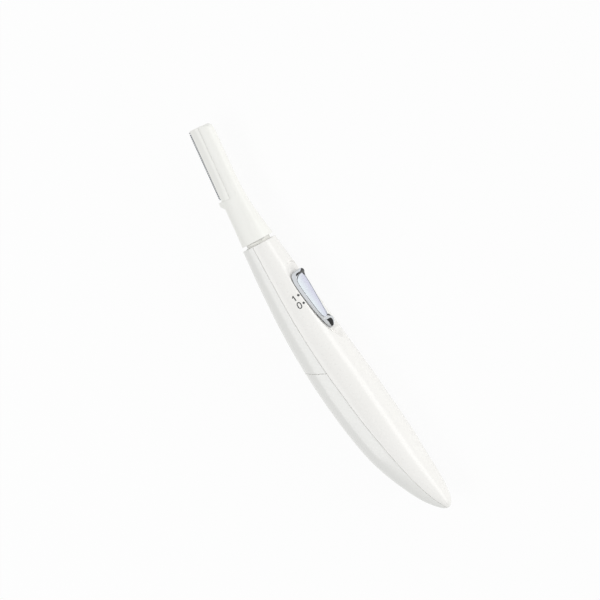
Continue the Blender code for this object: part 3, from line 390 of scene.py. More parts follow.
# Rounds the creases that the test picks, by a small bevel
def softenCreases(mesh, width, segments, test, least):
    shape = bmesh.new()
    shape.from_mesh(mesh)
    bmesh.ops.remove_doubles(shape, verts=shape.verts, dist=weld)
    bmesh.ops.dissolve_degenerate(shape, dist=weld, edges=shape.edges)
    picked = [edge for edge in shape.edges
              if len(edge.link_faces) == 2
              and edge.calc_face_angle(0) > math.radians(least)
              and test((edge.verts[0].co + edge.verts[1].co) / 2)]
    bmesh.ops.bevel(shape, geom=picked, offset=width, offset_type="OFFSET", segments=segments,
                    profile=0.5, affect="EDGES", clamp_overlap=True, material=-1)
    bmesh.ops.recalc_face_normals(shape, faces=shape.faces)
    shape.to_mesh(mesh)
    shape.free()


# Gives a finished mesh its finish and its body, and hides the CAD nodes it stands for
def finishPiece(name, mesh, material, body, nodes=(), space=None, crease=32):
    if space is not None:
        mesh.transform(space)
    mesh.name = name
    mesh.materials.clear()
    mesh.materials.append(materials[material])
    mesh.shade_smooth()
    mesh.set_sharp_from_angle(angle=math.radians(crease))
    piece = addObject(name, mesh)
    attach(piece, body)
    if nodes:
        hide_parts(*nodes)


# Housing form: a bowed spindle, read from its top (0) to its tip (1)
housing = {
    "top": 0.030925,
    "length": 0.1064,
    "bow": 0.008,
    "depth": 0.01,
    "wall": 0.0011,
    "power": 2.25,
    "side": 0.82,
    "sideGain": 0.20,
    "sideGainFrom": 0.60,
    "land": 0.00798,
    "landSoftness": 60,
    "arcPoints": 61,
    "first": -0.045,
    "stations": 100,
    "tipStations": 22,
    "tipStationsFrom": 0.95,
    "tipFrom": 0.981,
    "readable": (-0.06, 0.9999),
    "seamGap": 0.00014,
    "seamAt": 0.00015,
    "seamReach": 0.98,
    "splitGap": 0.00014,
    "splitShift": 0.00015,
    "splitSide": (-0.016775, 0.0063),
    "splitBack": (-0.011975, 0.0176),
    "edgeRound": 0.00014,
    "padBack": 0.0024,
    "padFrom": -0.00718,
    "padTo": 0.023526,
}
# along, bow, depth, seam
housingShares = (
    (-0.070, 0.760, 0.585, 0.12), (0.000, 0.825, 0.627, 0.12), (0.110, 0.908, 0.750, 0.12),
    (0.258, 0.996, 0.876, 0.12), (0.406, 1.004, 0.962, 0.14), (0.518, 0.949, 0.994, 0.16),
    (0.629, 0.876, 0.975, 0.20), (0.740, 0.748, 0.907, 0.26), (0.815, 0.611, 0.786, 0.26),
    (0.889, 0.403, 0.627, 0.22), (0.945, 0.219, 0.455, 0.21), (0.981, 0.075, 0.268, 0.20),
    (0.994, 0.040, 0.165, 0.20), (1.000, 0.031, 0.060, 0.20),
)


def housingX(along):
    return housing["top"] - along * housing["length"]


# Middle, half depth, half side and seam place of the section there
def housingSection(along):
    depth = readTable(housingShares, along, 2)
    if along > housing["tipFrom"]:  # the tip closes as a round nose
        depth = (readTable(housingShares, housing["tipFrom"], 2)
                 * math.sqrt(max(1 - along, 0.00001) / (1 - housing["tipFrom"])))
    depth *= housing["depth"]
    middle = readTable(housingShares, along, 1) * housing["bow"]
    gain = housing["sideGain"] * max(0, along - housing["sideGainFrom"])
    seam = middle - readTable(housingShares, along, 3) * depth
    return middle, depth, depth * (housing["side"] + gain), seam


def signedPower(value, power):
    return math.copysign(abs(value) ** power, value)


# A closed loop round one half of the shell: outer arc, seam face, inner arc, seam face
def shellLoop(along, front):
    middle, depth, side, seam = housingSection(along)
    edge = seam + housing["seamAt"] + (-0.5 if front else 0.5) * housing["seamGap"]
    wall = min(housing["wall"], 0.5 * side)
    inPad = front and housing["padFrom"] < housingX(along) < housing["padTo"]
    loop = []
    for inset in (0, wall):
        wide, high, land = depth - inset, side - inset, housing["land"] - inset
        reach = max(-housing["seamReach"], min(housing["seamReach"], (edge - middle) / wide))
        turn = math.acos(signedPower(reach, housing["power"] / 2))
        start, end = (turn, 2 * math.pi - turn) if front else (-turn, turn)
        arc = []
        for index in range(housing["arcPoints"]):
            angle = start + (end - start) * index / (housing["arcPoints"] - 1)
            y = middle + wide * signedPower(math.cos(angle), 2 / housing["power"])
            z = high * signedPower(math.sin(angle), 2 / housing["power"])
            soft = housing["landSoftness"]
            z /= (1 + abs(z / land) ** soft) ** (1 / soft)
            if inset and inPad:
                y = max(y, housing["padBack"])
            arc.append((housingX(along), y, z))
        loop += arc if inset == 0 else arc[::-1]
    return loop


# Even stations along the shell, and ever closer ones toward the tip
def housingStations():
    first, count, turn = housing["first"], housing["stations"], housing["tipStationsFrom"]
    even = [first + (turn - first) * i / count for i in range(count + 1)]
    count = housing["tipStations"]
    return even + [turn + (1 - turn) * (1 - (1 - i / count) ** 2) for i in range(1, count + 1)]


# Whether a place lies near the outer skin, and not inside
def onOuter(place, least=0.9):
    low, high = housing["readable"]
    along = min(max((housing["top"] - place.x) / housing["length"], low), high)
    middle, depth, side, _ = housingSection(along)
    return (abs((place.y - middle) / depth) ** housing["power"]
            + abs(place.z / side) ** housing["power"]) > least


def cutByPlane(shape, point, outward):
    cut = bmesh.ops.bisect_plane(
        shape, geom=shape.verts[:] + shape.edges[:] + shape.faces[:], dist=weld / 2,
        plane_co=point, plane_no=outward, clear_outer=True)["geom_cut"]
    bmesh.ops.contextual_create(
        shape, geom=[item for item in cut if isinstance(item, bmesh.types.BMEdge)])


def halfShell(front):
    shape = bmesh.new()
    sweepLoops(shape, [shellLoop(along, front) for along in housingStations()])
    tilt = layout["rimTilt"]
    cutByPlane(shape, (*layout["rim"], 0), (math.cos(tilt), -math.sin(tilt), 0))
    return shape


# Plan outlines read as half widths from the head end (0) to the tail end (1), closed round
def leafHalf(rows, along):
    first, last = rows[0], rows[-1]
    if along < first[0]:
        return first[1] * math.sqrt(max(along, 0) / first[0])
    if along > last[0]:
        return last[1] * math.sqrt(max(1 - along, 0) / (1 - last[0]))
    return readTable(rows, along, 1)


# Places crowded toward both ends, which keeps the round ends smooth
def crowdedPlaces(low, high, count):
    shares = [0.5 - 0.5 * math.cos(math.pi * i / count) for i in range(count + 1)]
    return [low + (high - low) * share for share in shares]


# Switch knob: a plated leaf with a low saddle between two raised ends
knob = {
    "headEnd": 0.017726,
    "length": 0.0223,
    "half": 0.0036,
    "rise": 0.0023,
    "under": 0.0010,
    "travel": 0.0029,
    "stations": 170,
    "rollShare": 0.16,
    "sidePoints": 18,
    "facePoints": 12,
    "leastHalf": 0.00005,
    "leastSide": 0.0002,
    "footRound": 0.00008,
    "footDrop": 0.00012,
    "keelHalf": 0.72,
    "ends": 0.0006,
    "socket": ((-0.0019, -0.0001, -0.0012), (0.0023, 0.004, 0.0012)),
}
# along, half width
knobPlan = (
    (0.025, 0.68), (0.05, 0.86), (0.09, 0.96), (0.16, 1.0), (0.28, 0.97), (0.40, 0.90),
    (0.50, 0.82), (0.60, 0.73), (0.77, 0.56), (0.88, 0.41), (0.95, 0.27), (0.985, 0.15),
)
# along, crest, half width of the face as a share of the plan, depth of the side's foot
knobShares = (
    (0.0, 0.30, 0.30, 0.10), (0.010, 0.88, 0.28, 0.14), (0.025, 0.97, 0.28, 0.18),
    (0.045, 0.95, 0.38, 0.22), (0.070, 0.72, 0.56, 0.26), (0.10, 0.34, 0.72, 0.30),
    (0.15, 0.11, 0.84, 0.38), (0.28, 0.065, 0.87, 0.40), (0.45, 0.05, 0.88, 0.40),
    (0.62, 0.06, 0.89, 0.37), (0.74, 0.10, 0.90, 0.32), (0.80, 0.20, 0.84, 0.28),
    (0.84, 0.60, 0.64, 0.24), (0.875, 0.90, 0.46, 0.21), (0.91, 0.90, 0.38, 0.18),
    (0.955, 0.66, 0.34, 0.14), (0.985, 0.42, 0.32, 0.10), (1.0, 0.20, 0.30, 0.06),
)
# along, depth of the underside
keelShares = (
    (0.0, 0.30), (0.06, 0.55), (0.16, 0.80), (0.35, 1.0), (0.65, 1.0), (0.85, 0.75), (1.0, 0.40),
)


def knobPlace(along):
    return knob["headEnd"] - along * knob["length"]


def keelDepth(along):
    return knob["under"] * readTable(keelShares, min(max(along, 0), 1), 1)


# Switch well: a shallow leaf round the knob and its travel, its floor following the knob's keel
well = {
    "headEnd": 0.021226,
    "length": 0.0269,
    "half": 0.00378,
    "leastHalf": 0.0004,
    "drop": 0.00035,
    "stemWay": (-0.0019, 0.0052),
    "stemHalf": 0.0012,
    "stemDeep": 0.002,
    "corner": 0.0003,
    "margin": 0.0003,
    "rimBack": 0.002,
    "stations": 90,
    "ends": 0.0004,
    "edgeRound": 0.00015,
    "flare": 0.577,
    "flareRise": 0.004,
    "runOut": 0.0045,
}
wellPlan = (
    (0.03, 0.72), (0.06, 0.89), (0.11, 0.98), (0.20, 1.0), (0.32, 1.0), (0.44, 0.94),
    (0.56, 0.84), (0.68, 0.72), (0.80, 0.58), (0.90, 0.43), (0.96, 0.28), (0.988, 0.15),
)


# The walls flare outward, and past both ends the floor runs out to the surface
def wellLoop(along):
    place = well["headEnd"] - along * well["length"]
    half = max(well["half"] * leafHalf(wellPlan, min(max(along, 0), 1)), well["leastHalf"])
    middle = knobPlace(0.5)
    rest = min(place, max(middle, place - knob["travel"]))
    floor = keelDepth((knob["headEnd"] - rest) / knob["length"]) + well["drop"]
    beyond = max(-along, along - 1, 0) * well["length"]
    floor -= beyond * well["flare"]
    corner = min(well["corner"], half * 0.5)
    near = [(floor - well["flareRise"], half + well["flareRise"] / well["flare"])]
    near += [(floor - corner, half + corner * 0.2), (floor - corner * 0.3, half - corner * 0.3),
             (floor, half - corner)]
    return [(place, y, z) for y, z in near] + [(place, y, -z) for y, z in reversed(near)]


shape = bmesh.new()
runOut = well["runOut"] / well["length"]
sweepLoops(shape, [wellLoop(along) for along in [
    -runOut, -runOut * 0.5, *crowdedPlaces(well["ends"], 1 - well["ends"], well["stations"]),
    1 + runOut * 0.5, 1 + runOut]])
wellTool = toMesh(shape)
stemTool = toMesh(blockShape(
    (well["stemWay"][0], 0, -well["stemHalf"]),
    (well["stemWay"][1], housing["padBack"] + well["stemDeep"], well["stemHalf"])))
frontMesh = carve(toMesh(halfShell(True)), cuts(wellTool, stemTool))


def inWell(place):
    margin = well["margin"]
    return (well["headEnd"] - well["length"] - margin < place.x < well["headEnd"] + margin
            and abs(place.z) < well["half"] + margin
            and place.y < well["rimBack"] and onOuter(place, 0.93))


softenCreases(frontMesh, well["edgeRound"], 3, inWell, 25)
softenCreases(frontMesh, housing["edgeRound"], 2,
              lambda place: onOuter(place) and not inWell(place), 35)
finishPiece("frontHousing", frontMesh, "pearlAbs", "housing",
            ("front_housing",), bodySpace)
print("stage: front housing made")


# The joint between the covers is one slanted plane, with half its gap on either side
splitSide, splitBack = Vector(housing["splitSide"]), Vector(housing["splitBack"])
splitRun = (splitBack - splitSide).normalized()
for name, body, node, toward in (("rearCover", "housing", "rear_cover", -1),
                                 ("batteryCover", "battery_door", "battery_cover", 1)):
    shape = halfShell(False)
    offset = housing["splitShift"] - toward * housing["splitGap"] / 2
    cutByPlane(shape, (splitSide.x + offset, splitSide.y, 0),
               Vector((splitRun.y, -splitRun.x, 0)) * toward)
    coverMesh = toMesh(shape)
    softenCreases(coverMesh, housing["edgeRound"], 2, onOuter, 35)
    finishPiece(name, coverMesh, "shadeAbs", body, (node,), bodySpace)
print("stage: covers made")


# Half of the knob's section, from the middle of its face to its foot: (half width, height)
def knobSection(along):
    crest, face, foot = (readTable(knobShares, along, column) for column in (1, 2, 3))
    wide = max(knob["half"] * leafHalf(knobPlan, along), knob["leastHalf"])
    top, low = knob["rise"] * crest, -knob["rise"] * foot
    return wide, wide * face, top, min(low, top - knob["leastSide"])


# Inlay, and the pocket in the knob that it lies in
inlay = {
    "from": 0.078,
    "to": 0.815,
    "border": 0.00026,
    "endPower": 11,
    "endRoot": 2.2,
    "depth": 0.00034,
    "fullDepthFrom": 0.0004,
    "lip": 0.00005,
    "gap": 0.00010,
    "rise": 0.00010,
    "edgeFall": 0.00006,
    "thick": 0.00026,
    "facePoints": 16,
    "stations": 90,
    "ends": 0.0008,
}


# Half width of the pocket
def inlayHalf(along):
    middle, reach = (inlay["from"] + inlay["to"]) / 2, (inlay["to"] - inlay["from"]) / 2
    away = abs(along - middle) / reach
    if away >= 1:
        return 0.0
    rounding = (1 - away ** inlay["endPower"]) ** (1 / inlay["endRoot"])
    return (knobSection(along)[1] - inlay["border"]) * rounding


def knobLoop(along):
    wide, face, top, low = knobSection(along)
    pocket = inlayHalf(along)
    sunk = inlay["depth"] * min(1, pocket / inlay["fullDepthFrom"])
    border = max(pocket, face * 0.3)
    near = [(border * i / knob["facePoints"], top - sunk) for i in range(knob["facePoints"] + 1)]
    lip = min(inlay["lip"], (face - border) * 0.4)
    near += [(border + lip * 0.4, top - sunk * 0.25), (border + lip, top)]
    near += [(border + lip + (face - border - lip) * i / 3, top) for i in (1, 2, 3)]
    count, roll = knob["sidePoints"], knob["rollShare"]
    for index in range(1, count + 1):  # the side rolls over from the face, then runs straight
        out = (index / count) ** 1.5
        fall = out * out / (2 * roll) if out < roll else out - roll / 2
        near.append((face + (wide - face) * out, top - (top - low) * fall / (1 - roll / 2)))
    under, ease = min(low - knob["footDrop"], -keelDepth(along)), knob["footRound"]
    near += [(wide - min(ease, wide * 0.3), low - ease), (wide * knob["keelHalf"], under)]
    place = knobPlace(along)
    half = [(place, -height, z) for z, height in near]
    return half + [(x, y, -z) for x, y, z in reversed(half[1:])]


def inlayLoop(along):
    half = max(inlayHalf(along) - inlay["gap"], 0.00002)
    top = knobSection(along)[2]
    place, count = knobPlace(along), inlay["facePoints"]
    upper, lower = [], []
    for index in range(-count, count + 1):
        share = index / count
        dome = inlay["rise"] * (1 - abs(share) ** 3) - inlay["edgeFall"] * abs(share) ** 12
        upper.append((place, -(top + dome), half * share))
        lower.append((place, -(top - inlay["thick"]), half * share))
    return upper + lower[::-1]


shape = bmesh.new()
sweepLoops(shape, [knobLoop(along) for along in crowdedPlaces(
    knob["ends"], 1 - knob["ends"], knob["stations"])])
knobMesh = carve(toMesh(shape), cuts(toMesh(blockShape(*knob["socket"]))))

# Painted dark reflections and painted shade on the knob, in glossy black: each part's ends along
# it, and how far it goes across and down
paintedReflection = {
    "down": 0.0003,
    "lip": (0.022, 0.112),
    "lipSlope": 0.042,
    "lipStart": 0.018,
    "lipInset": 0.0002,
    "lipTurn": 12,
    "lipTurnFrom": 0.0014,
    "flank": (0.050, 0.080),
    "flankFrom": 0.9,
    "flankDown": 0.45,
    "bump": (0.800, 0.842),
    "bumpFrom": 0.0003,
    "tail": (0.862, 0.985),
    "tailSlope": 5,
    "tailTo": 0.80,
    "tailDown": 0.3,
    "rim": (0.08, 0.80),
    "rimInset": 0.00013,
    "rimOver": 0.00002,
    "rimDown": 0.00012,
}


# Painted black reflection and shade on the knob: the inner slopes of lip and tail bump, the
# bump's flank, the rim beside the inlay
def isPaintedReflection(place):
    along, side, height = (knob["headEnd"] - place.x) / knob["length"], place.z, -place.y
    wide, face, top, _ = knobSection(min(max(along, 0), 1))
    onCrest = height > top - paintedReflection["down"]

    def within(part):
        return paintedReflection[part][0] < along < paintedReflection[part][1]

    lipSide = (along - paintedReflection["lipStart"]) * paintedReflection["lipSlope"] - paintedReflection["lipInset"]
    lipEnd = paintedReflection["lip"][1] - (side + paintedReflection["lipTurnFrom"]) * paintedReflection["lipTurn"]
    inLip = onCrest and side < lipSide and paintedReflection["lip"][0] < along < lipEnd
    onFlank = (within("flank") and side > face * paintedReflection["flankFrom"]
               and height > top * paintedReflection["flankDown"])
    inBump = within("bump") and side < -paintedReflection["bumpFrom"] and onCrest
    tailSide = face * (1 - (along - paintedReflection["tail"][0]) * paintedReflection["tailSlope"])
    inTail = (within("tail") and height > paintedReflection["tailDown"] * top
              and tailSide < side < paintedReflection["tailTo"] * wide)
    onRim = (within("rim") and height > top - paintedReflection["rimDown"]
             and inlayHalf(along) + paintedReflection["rimInset"] < side < face + paintedReflection["rimOver"])
    return inLip or onFlank or inBump or inTail or onRim


# Faces that get painted black reflection and shade instead of chrome
paintedReflectionFaces = [isPaintedReflection(polygon.center) for polygon in knobMesh.polygons]
finishPiece("switchKnob", knobMesh, "platedChrome", "switch",
            ("switch_knob",), bodySpace, 50)
knobMesh.materials.append(materials["paintedReflectionBlack"])
for polygon, dark in zip(knobMesh.polygons, paintedReflectionFaces):
    polygon.material_index = int(dark)
shape = bmesh.new()
sweepLoops(shape, [inlayLoop(along) for along in crowdedPlaces(
    inlay["from"] + inlay["ends"], inlay["to"] - inlay["ends"], inlay["stations"])])
finishPiece("switchInlay", toMesh(shape), "foiledAcrylic", "switch",
            ("switch_inlay",), bodySpace, 40)
print("stage: switch knob made")

# Head: sections measured from the swivel pin (0) to the flat end of the paddle (1)
head = {
    "reach": 0.04571,
    "front": 0.0056,
    "back": 0.0068,
    "half": 0.0048,
    "ringPoints": 96,
    "stations": 90,
    "footRise": 0.0013,
    "faceHalf": 0.0021,
    "faceLow": 0.0205,
    "rampLow": 0.0150,
    "rampHalf": 0.0033,
    "coverLow": 0.0200,
    "coverFront": 0.00193,
    "coverFloor": -0.0010,
    "coverGap": 0.00009,
    "coverUnder": 0.0006,
    "coverStart": 0.00003,
    "edgeRound": 0.00012,
    "edgesFrom": 0.0325,
    "over": 0.004,
    "socket": ((-0.004, -0.0035, -0.0030), (0.0071, 0.0047, 0.0030)),
    "chamber": ((0, -0.0024, -0.0013), (0.0125, 0.0059, 0.0013)),
    "sliderWay": ((0.0070, 0.0030, -0.0012), (0.0205, 0.0059, 0.0012)),
    "pinHole": ((0.0090, 0, -0.0028), (0.0090, 0, 0.0028), 0.0008),
    "guard": ((0.0169, 0.0060), (0.0183, 0.00748), (0.0186, 0.00778), (0.0199, 0.00778),
              (0.0199, 0.0060)),
    "guardHalf": 0.0009,
}
# Two moulded studs hold the comb and let the moving blade slide
studs = {
    "places": (0.0245, 0.0405),
    "across": 0.0046,
    "radius": 0.0006,
    "top": 0.0003,
    "root": 0.0003,
    "room": 0.0003,
    "holeHalf": 0.002,
}
# along, front, back, thickness, squareness, thinning toward the blade
headShares = (
    (0.020, 1.070, 0.860, 1.080, 2.25, 0.00), (0.081, 1.000, 0.872, 1.000, 2.30, 0.00),
    (0.125, 0.930, 0.880, 0.930, 2.30, 0.00), (0.212, 0.768, 0.902, 0.781, 2.40, 0.02),
    (0.307, 0.598, 0.934, 0.635, 2.60, 0.08), (0.394, 0.491, 0.966, 0.540, 2.70, 0.20),
    (0.482, 0.411, 0.993, 0.500, 2.80, 0.36), (0.657, 0.375, 1.000, 0.490, 2.80, 0.46),
    (0.930, 0.370, 1.000, 0.490, 2.80, 0.46), (0.970, 0.325, 1.000, 0.490, 2.80, 0.46),
    (0.988, 0.240, 0.998, 0.488, 2.80, 0.46), (1.000, 0.080, 0.990, 0.478, 2.80, 0.46),
)


def headLoop(along):
    front, back, thick, power, thinning = (readTable(headShares, along, c) for c in range(1, 6))
    low, high = -front * head["front"], back * head["back"]
    loop = []
    for index in range(head["ringPoints"]):
        angle = 2 * math.pi * index / head["ringPoints"]
        across = signedPower(math.cos(angle), 2 / power)
        up = signedPower(math.sin(angle), 2 / power)
        z = thick * head["half"] * up * (1 - thinning * max(0, across))
        loop.append((along * head["reach"], (low + high) / 2 + (high - low) / 2 * across, z))
    return loop


def headForm():
    shape = bmesh.new()
    first = headShares[0][0]
    sweepLoops(shape, [headLoop(first + (1 - first) * (1 - (1 - i / head["stations"]) ** 1.3))
                       for i in range(head["stations"] + 1)])
    return toMesh(shape, headSpace)


def headBlock(low, high):
    return toMesh(blockShape(low, high), headSpace)


# Everything on the housing's side of a plane at this height over its rim
def belowRim(height):
    return toMesh(blockShape((-past, -past, -past), (height, past, past)), rimSpace)


def faceCutter(side):
    end, half = head["reach"] + head["over"], head["faceHalf"]
    outline = [(head["rampLow"], head["rampHalf"]), (head["faceLow"], half), (end, half),
               (end, past), (head["rampLow"], past)]
    return toMesh(pullOutline([(x, z * side) for x, z in outline], -past, past, "Y"), headSpace)


headSteps = cuts(faceCutter(1), faceCutter(-1), belowRim(head["footRise"]))
headSteps.append(("UNION", toMesh(
    pullOutline(head["guard"], -head["guardHalf"], head["guardHalf"], "Z"), headSpace)))
headSteps += cuts(headBlock((head["coverLow"], head["coverFront"], head["coverFloor"]),
                            (head["reach"] + head["over"], past, past)))
for place in studs["places"]:
    stud = barShape((place, studs["across"], head["coverFloor"] - studs["root"]),
                    (place, studs["across"], studs["top"]), studs["radius"])
    headSteps.append(("UNION", toMesh(stud, headSpace)))
headSteps += cuts(headBlock(*head["socket"]), headBlock(*head["chamber"]),
                  headBlock(*head["sliderWay"]), toMesh(barShape(*head["pinHole"]), headSpace))
headMesh = carve(headForm(), headSteps)
softenCreases(headMesh, head["edgeRound"], 2, lambda place: place.x > head["edgesFrom"], 28)
finishPiece("headFrame", headMesh, "satinAbs", "head", ("head_frame",))

coverRoom = headBlock(
    (head["coverLow"] + head["coverStart"], head["coverFront"] + head["coverGap"],
     head["coverUnder"]),
    (head["reach"] + head["over"], past, past))
coverMesh = carve(headForm(), cuts(faceCutter(1)) + [("INTERSECT", coverRoom)])
softenCreases(coverMesh, head["edgeRound"], 2, lambda place: True, 28)
finishPiece("bladeCover", coverMesh, "satinAbs", "head", ("blade_cover",))
print("stage: head made")

# Blades: a fixed comb of stamped steel, and a moving one behind it with a driven tail
blades = {
    "fixedBlade": {
        "low": 0.0206, "high": 0.0453, "front": 0.0024, "root": 0.0070, "tip": 0.00790,
        "teeth": 36, "under": -0.0007, "over": -0.00035, "slide": 0, "body": "head",
        "node": "fixed_blade"},
    "movingBlade": {
        "low": 0.0211, "high": 0.0444, "front": 0.0032, "root": 0.0067, "tip": 0.0075,
        "teeth": 34, "under": -0.00005, "over": 0.0003, "slide": 0.00033, "body": "cutter",
        "node": "moving_blade", "tail": (0.0165, 0.0037, 0.0053)},
}
toothShares = {"rise": 0.16, "flat": 0.50, "fall": 0.66}
# The round bottom of a slot: how far along it, and how deep in eases
slotBottom = ((0.25, 1.3), (0.5, 1.7), (0.75, 1.3))
toothEase = 0.00006
tailCorner = 0.0003
bladeBevel = 0.000025
bladeFlat = 0.000005


def toothedOutline(row):
    pitch = (row["high"] - row["low"]) / (row["teeth"] + toothShares["fall"] - 1)
    outline = [(row["high"], row["front"]), (row["low"], row["front"])]
    if "tail" in row:
        end, front, back = row["tail"]
        cut = tailCorner
        outline += [(row["low"], front), (end + cut, front), (end, front + cut),
                    (end, back - cut), (end + cut, back), (row["low"], back)]
    for index in range(row["teeth"]):
        start = row["low"] + index * pitch
        near, away = start + toothShares["rise"] * pitch, start + toothShares["flat"] * pitch
        outline += [(start, row["root"]), (near, row["tip"] - toothEase),
                    (near + toothEase, row["tip"]), (away - toothEase, row["tip"]),
                    (away, row["tip"] - toothEase)]
        end = start + toothShares["fall"] * pitch
        outline.append((end, row["root"]))
        if index < row["teeth"] - 1:
            outline += [(end + (start + pitch - end) * share, row["root"] - toothEase * deep)
                        for share, deep in slotBottom]
    return outline


def makeBlade(name, row):
    mesh = toMesh(pullOutline(toothedOutline(row), row["under"], row["over"], "Z"))
    tools = []
    across, slide, deep = studs["across"], row["slide"], studs["holeHalf"]
    wide = studs["radius"] + studs["room"]
    for place in studs["places"]:
        for shift in {-slide, slide}:
            tools.append(barShape(
                (place + shift, across, -deep), (place + shift, across, deep), wide))
        if slide:
            tools.append(blockShape((place - slide, across - wide, -deep),
                                    (place + slide, across + wide, deep)))
    mesh = carve(mesh, cuts(*[toMesh(tool) for tool in tools]))
    softenCreases(mesh, bladeBevel, 1, lambda place: min(
        abs(place.z - row["under"]), abs(place.z - row["over"])) < bladeFlat, 60)
    finishPiece(name, mesh, "groundSteel", row["body"], (row["node"],), headSpace)


for name, row in blades.items():
    makeBlade(name, row)
print("stage: blades made")

# Neck: a hollow block with two cheeks that rocks on its pins, and a tenon that the head sits on
neck = {
    "halfDepth": 0.0044,
    "halfSide": 0.0035,
    "rimSide": 0.0038,
    "rimDepth": 0.0043,
    "rimPower": 1.95,
    "flareFrom": 0.0021,
    "flareTo": 0.0030,
    "high": 0.006,
    "low": -0.0006,
    "shoulder": 0.00118,
    "power": 2.4,
    "points": 96,
    "tenonMiddle": 0.0006,
    "tenonHalfDepth": 0.0040,
    "tenonHalfSide": 0.0029,
    "tenonHigh": 0.0068,
    "tenonRound": 0.0005,
    "tenonSteps": 6,
    "notchHalf": 0.0019,
    "notchHigh": 0.0015,
    "cheekLow": -0.0013,
    "cheekHalf": 0.0020,
    "cheekOver": 0.0003,
    "channelHalfDepth": 0.0026,
    "channelHalfSide": 0.0013,
    "pinHole": 0.0008,
    "edgeRound": 0.0001,
}


def roundLoop(x, middle, halfDepth, halfSide, power=neck["power"]):
    loop = []
    for index in range(neck["points"]):
        angle = 2 * math.pi * index / neck["points"]
        loop.append((x, middle + halfDepth * signedPower(math.cos(angle), 2 / power),
                     halfSide * signedPower(math.sin(angle), 2 / power)))
    return loop


# Stands up from the notch to its rounded end
def tenonLoops():
    middle, depth, side = neck["tenonMiddle"], neck["tenonHalfDepth"], neck["tenonHalfSide"]
    ease, count = neck["tenonRound"], neck["tenonSteps"]
    loops = [roundLoop(neck["notchHigh"], middle, depth, side)]
    for index in range(count + 1):
        angle = math.pi / 2 * index / count
        inset = ease * (1 - math.cos(angle))
        loops.append(roundLoop(neck["tenonHigh"] - ease + ease * math.sin(angle), middle,
                               depth - inset, side - inset))
    return loops


def loopMesh(loops):
    shape = bmesh.new()
    sweepLoops(shape, loops)
    return toMesh(shape, headSpace)


rim = (0, neck["rimDepth"], neck["rimSide"], neck["rimPower"])
neckMesh = loopMesh([roundLoop(neck["low"], 0, neck["halfDepth"], neck["halfSide"]),
                     roundLoop(neck["flareFrom"], 0, neck["halfDepth"], neck["halfSide"]),
                     roundLoop(neck["flareTo"], *rim), roundLoop(neck["high"], *rim)])
cheekHalf, notchHigh, notchHalf = neck["cheekHalf"], neck["notchHigh"], neck["notchHalf"]
channel = (neck["channelHalfDepth"], neck["channelHalfSide"])
steps = [
    ("INTERSECT", belowRim(neck["shoulder"])),
    ("UNION", headBlock((neck["cheekLow"], -cheekHalf, -cheekHalf),
                        (notchHigh + neck["cheekOver"], cheekHalf, cheekHalf))),
    ("UNION", loopMesh(tenonLoops())),
]
steps += cuts(
    headBlock((-past, -notchHalf, -past), (notchHigh, notchHalf, -cheekHalf)),
    headBlock((-past, -notchHalf, cheekHalf), (notchHigh, notchHalf, past)),
    headBlock((-past, -channel[0], -channel[1]), (past, *channel)),
    toMesh(barShape((0, 0, -past), (0, 0, past), neck["pinHole"]), headSpace))
neckMesh = carve(neckMesh, steps)
softenCreases(neckMesh, neck["edgeRound"], 2, lambda place: True, 40)
finishPiece("swivelBase", neckMesh, "satinAbs", "swivel", ("swivel_base",))
print("stage: neck made")

# Printed scale beside the knob, in metres right and up from the camera's aim: two dots, a 1, a 0
marks = {
    "lift": 0.000008,
    "film": 0.000012,
    "readFrom": 0.1,
    "dotRadius": 0.00042,
    "dotSides": 32,
    "dots": ((-0.00056, 0.00159), (0.00122, -0.00092)),
    "oneAt": (-0.00184, 0.00051),
    "oneLean": math.radians(36),
    "one": ((-0.00019, -0.00096), (0.00019, -0.00096), (0.00019, 0.00096), (-0.00016, 0.00096),
            (-0.00062, 0.00052), (-0.00062, 0.00024), (-0.00019, 0.00050)),
    "zeroAt": (-0.00018, -0.00180),
    "zeroLean": math.radians(29),
    "zeroHalf": (0.00078, 0.00118),
    "zeroStroke": 0.00034,
    "zeroPower": 2.3,
    "zeroSides": 40,
}
housingMesh = bpy.data.objects["frontHousing"].data
housingTree = BVHTree.FromPolygons([vert.co for vert in housingMesh.vertices],
                                   [face.vertices for face in housingMesh.polygons])


# Lays a flat shape on the housing along the line of sight, as a thin film of ink
def layMark(name, shape, middle, lean=0.0):
    bmesh.ops.subdivide_edges(shape, edges=shape.edges, cuts=1, use_grid_fill=True)
    for vert in shape.verts:
        flat = Matrix.Rotation(lean, 2) @ vert.co.xy
        start = (aim + rightAxis * (middle[0] + flat.x) + upAxis * (middle[1] + flat.y)
                 + backAxis * marks["readFrom"])
        vert.co = housingTree.ray_cast(start, -backAxis)[0] + backAxis * marks["lift"]
    thicken(shape, backAxis * marks["film"])
    finishPiece(name, toMesh(shape), "padInk", "housing")


for name, middle in zip(("dotBesideOne", "dotBesideZero"), marks["dots"]):
    shape = bmesh.new()
    bmesh.ops.create_circle(shape, cap_ends=True, cap_tris=True, segments=marks["dotSides"],
                            radius=marks["dotRadius"])
    layMark(name, shape, middle)
shape = bmesh.new()
drawRing(shape, [(x, y, 0) for x, y in marks["one"]])
bmesh.ops.triangulate(shape, faces=shape.faces)
layMark("markOne", shape, marks["oneAt"], marks["oneLean"])
shape = bmesh.new()
edges = []
for inset in (0, marks["zeroStroke"]):
    wide, high = marks["zeroHalf"][0] - inset, marks["zeroHalf"][1] - inset
    power = 2 / marks["zeroPower"]
    angles = [2 * math.pi * index / marks["zeroSides"] for index in range(marks["zeroSides"])]
    ring = drawRing(shape, [(wide * signedPower(math.cos(angle), power),
                             high * signedPower(math.sin(angle), power), 0)
                            for angle in angles], False)
    edges += ringEdges(shape, ring)
bmesh.ops.bridge_loops(shape, edges=edges)
layMark("markZero", shape, marks["zeroAt"], marks["zeroLean"])
print("stage: scale printed")

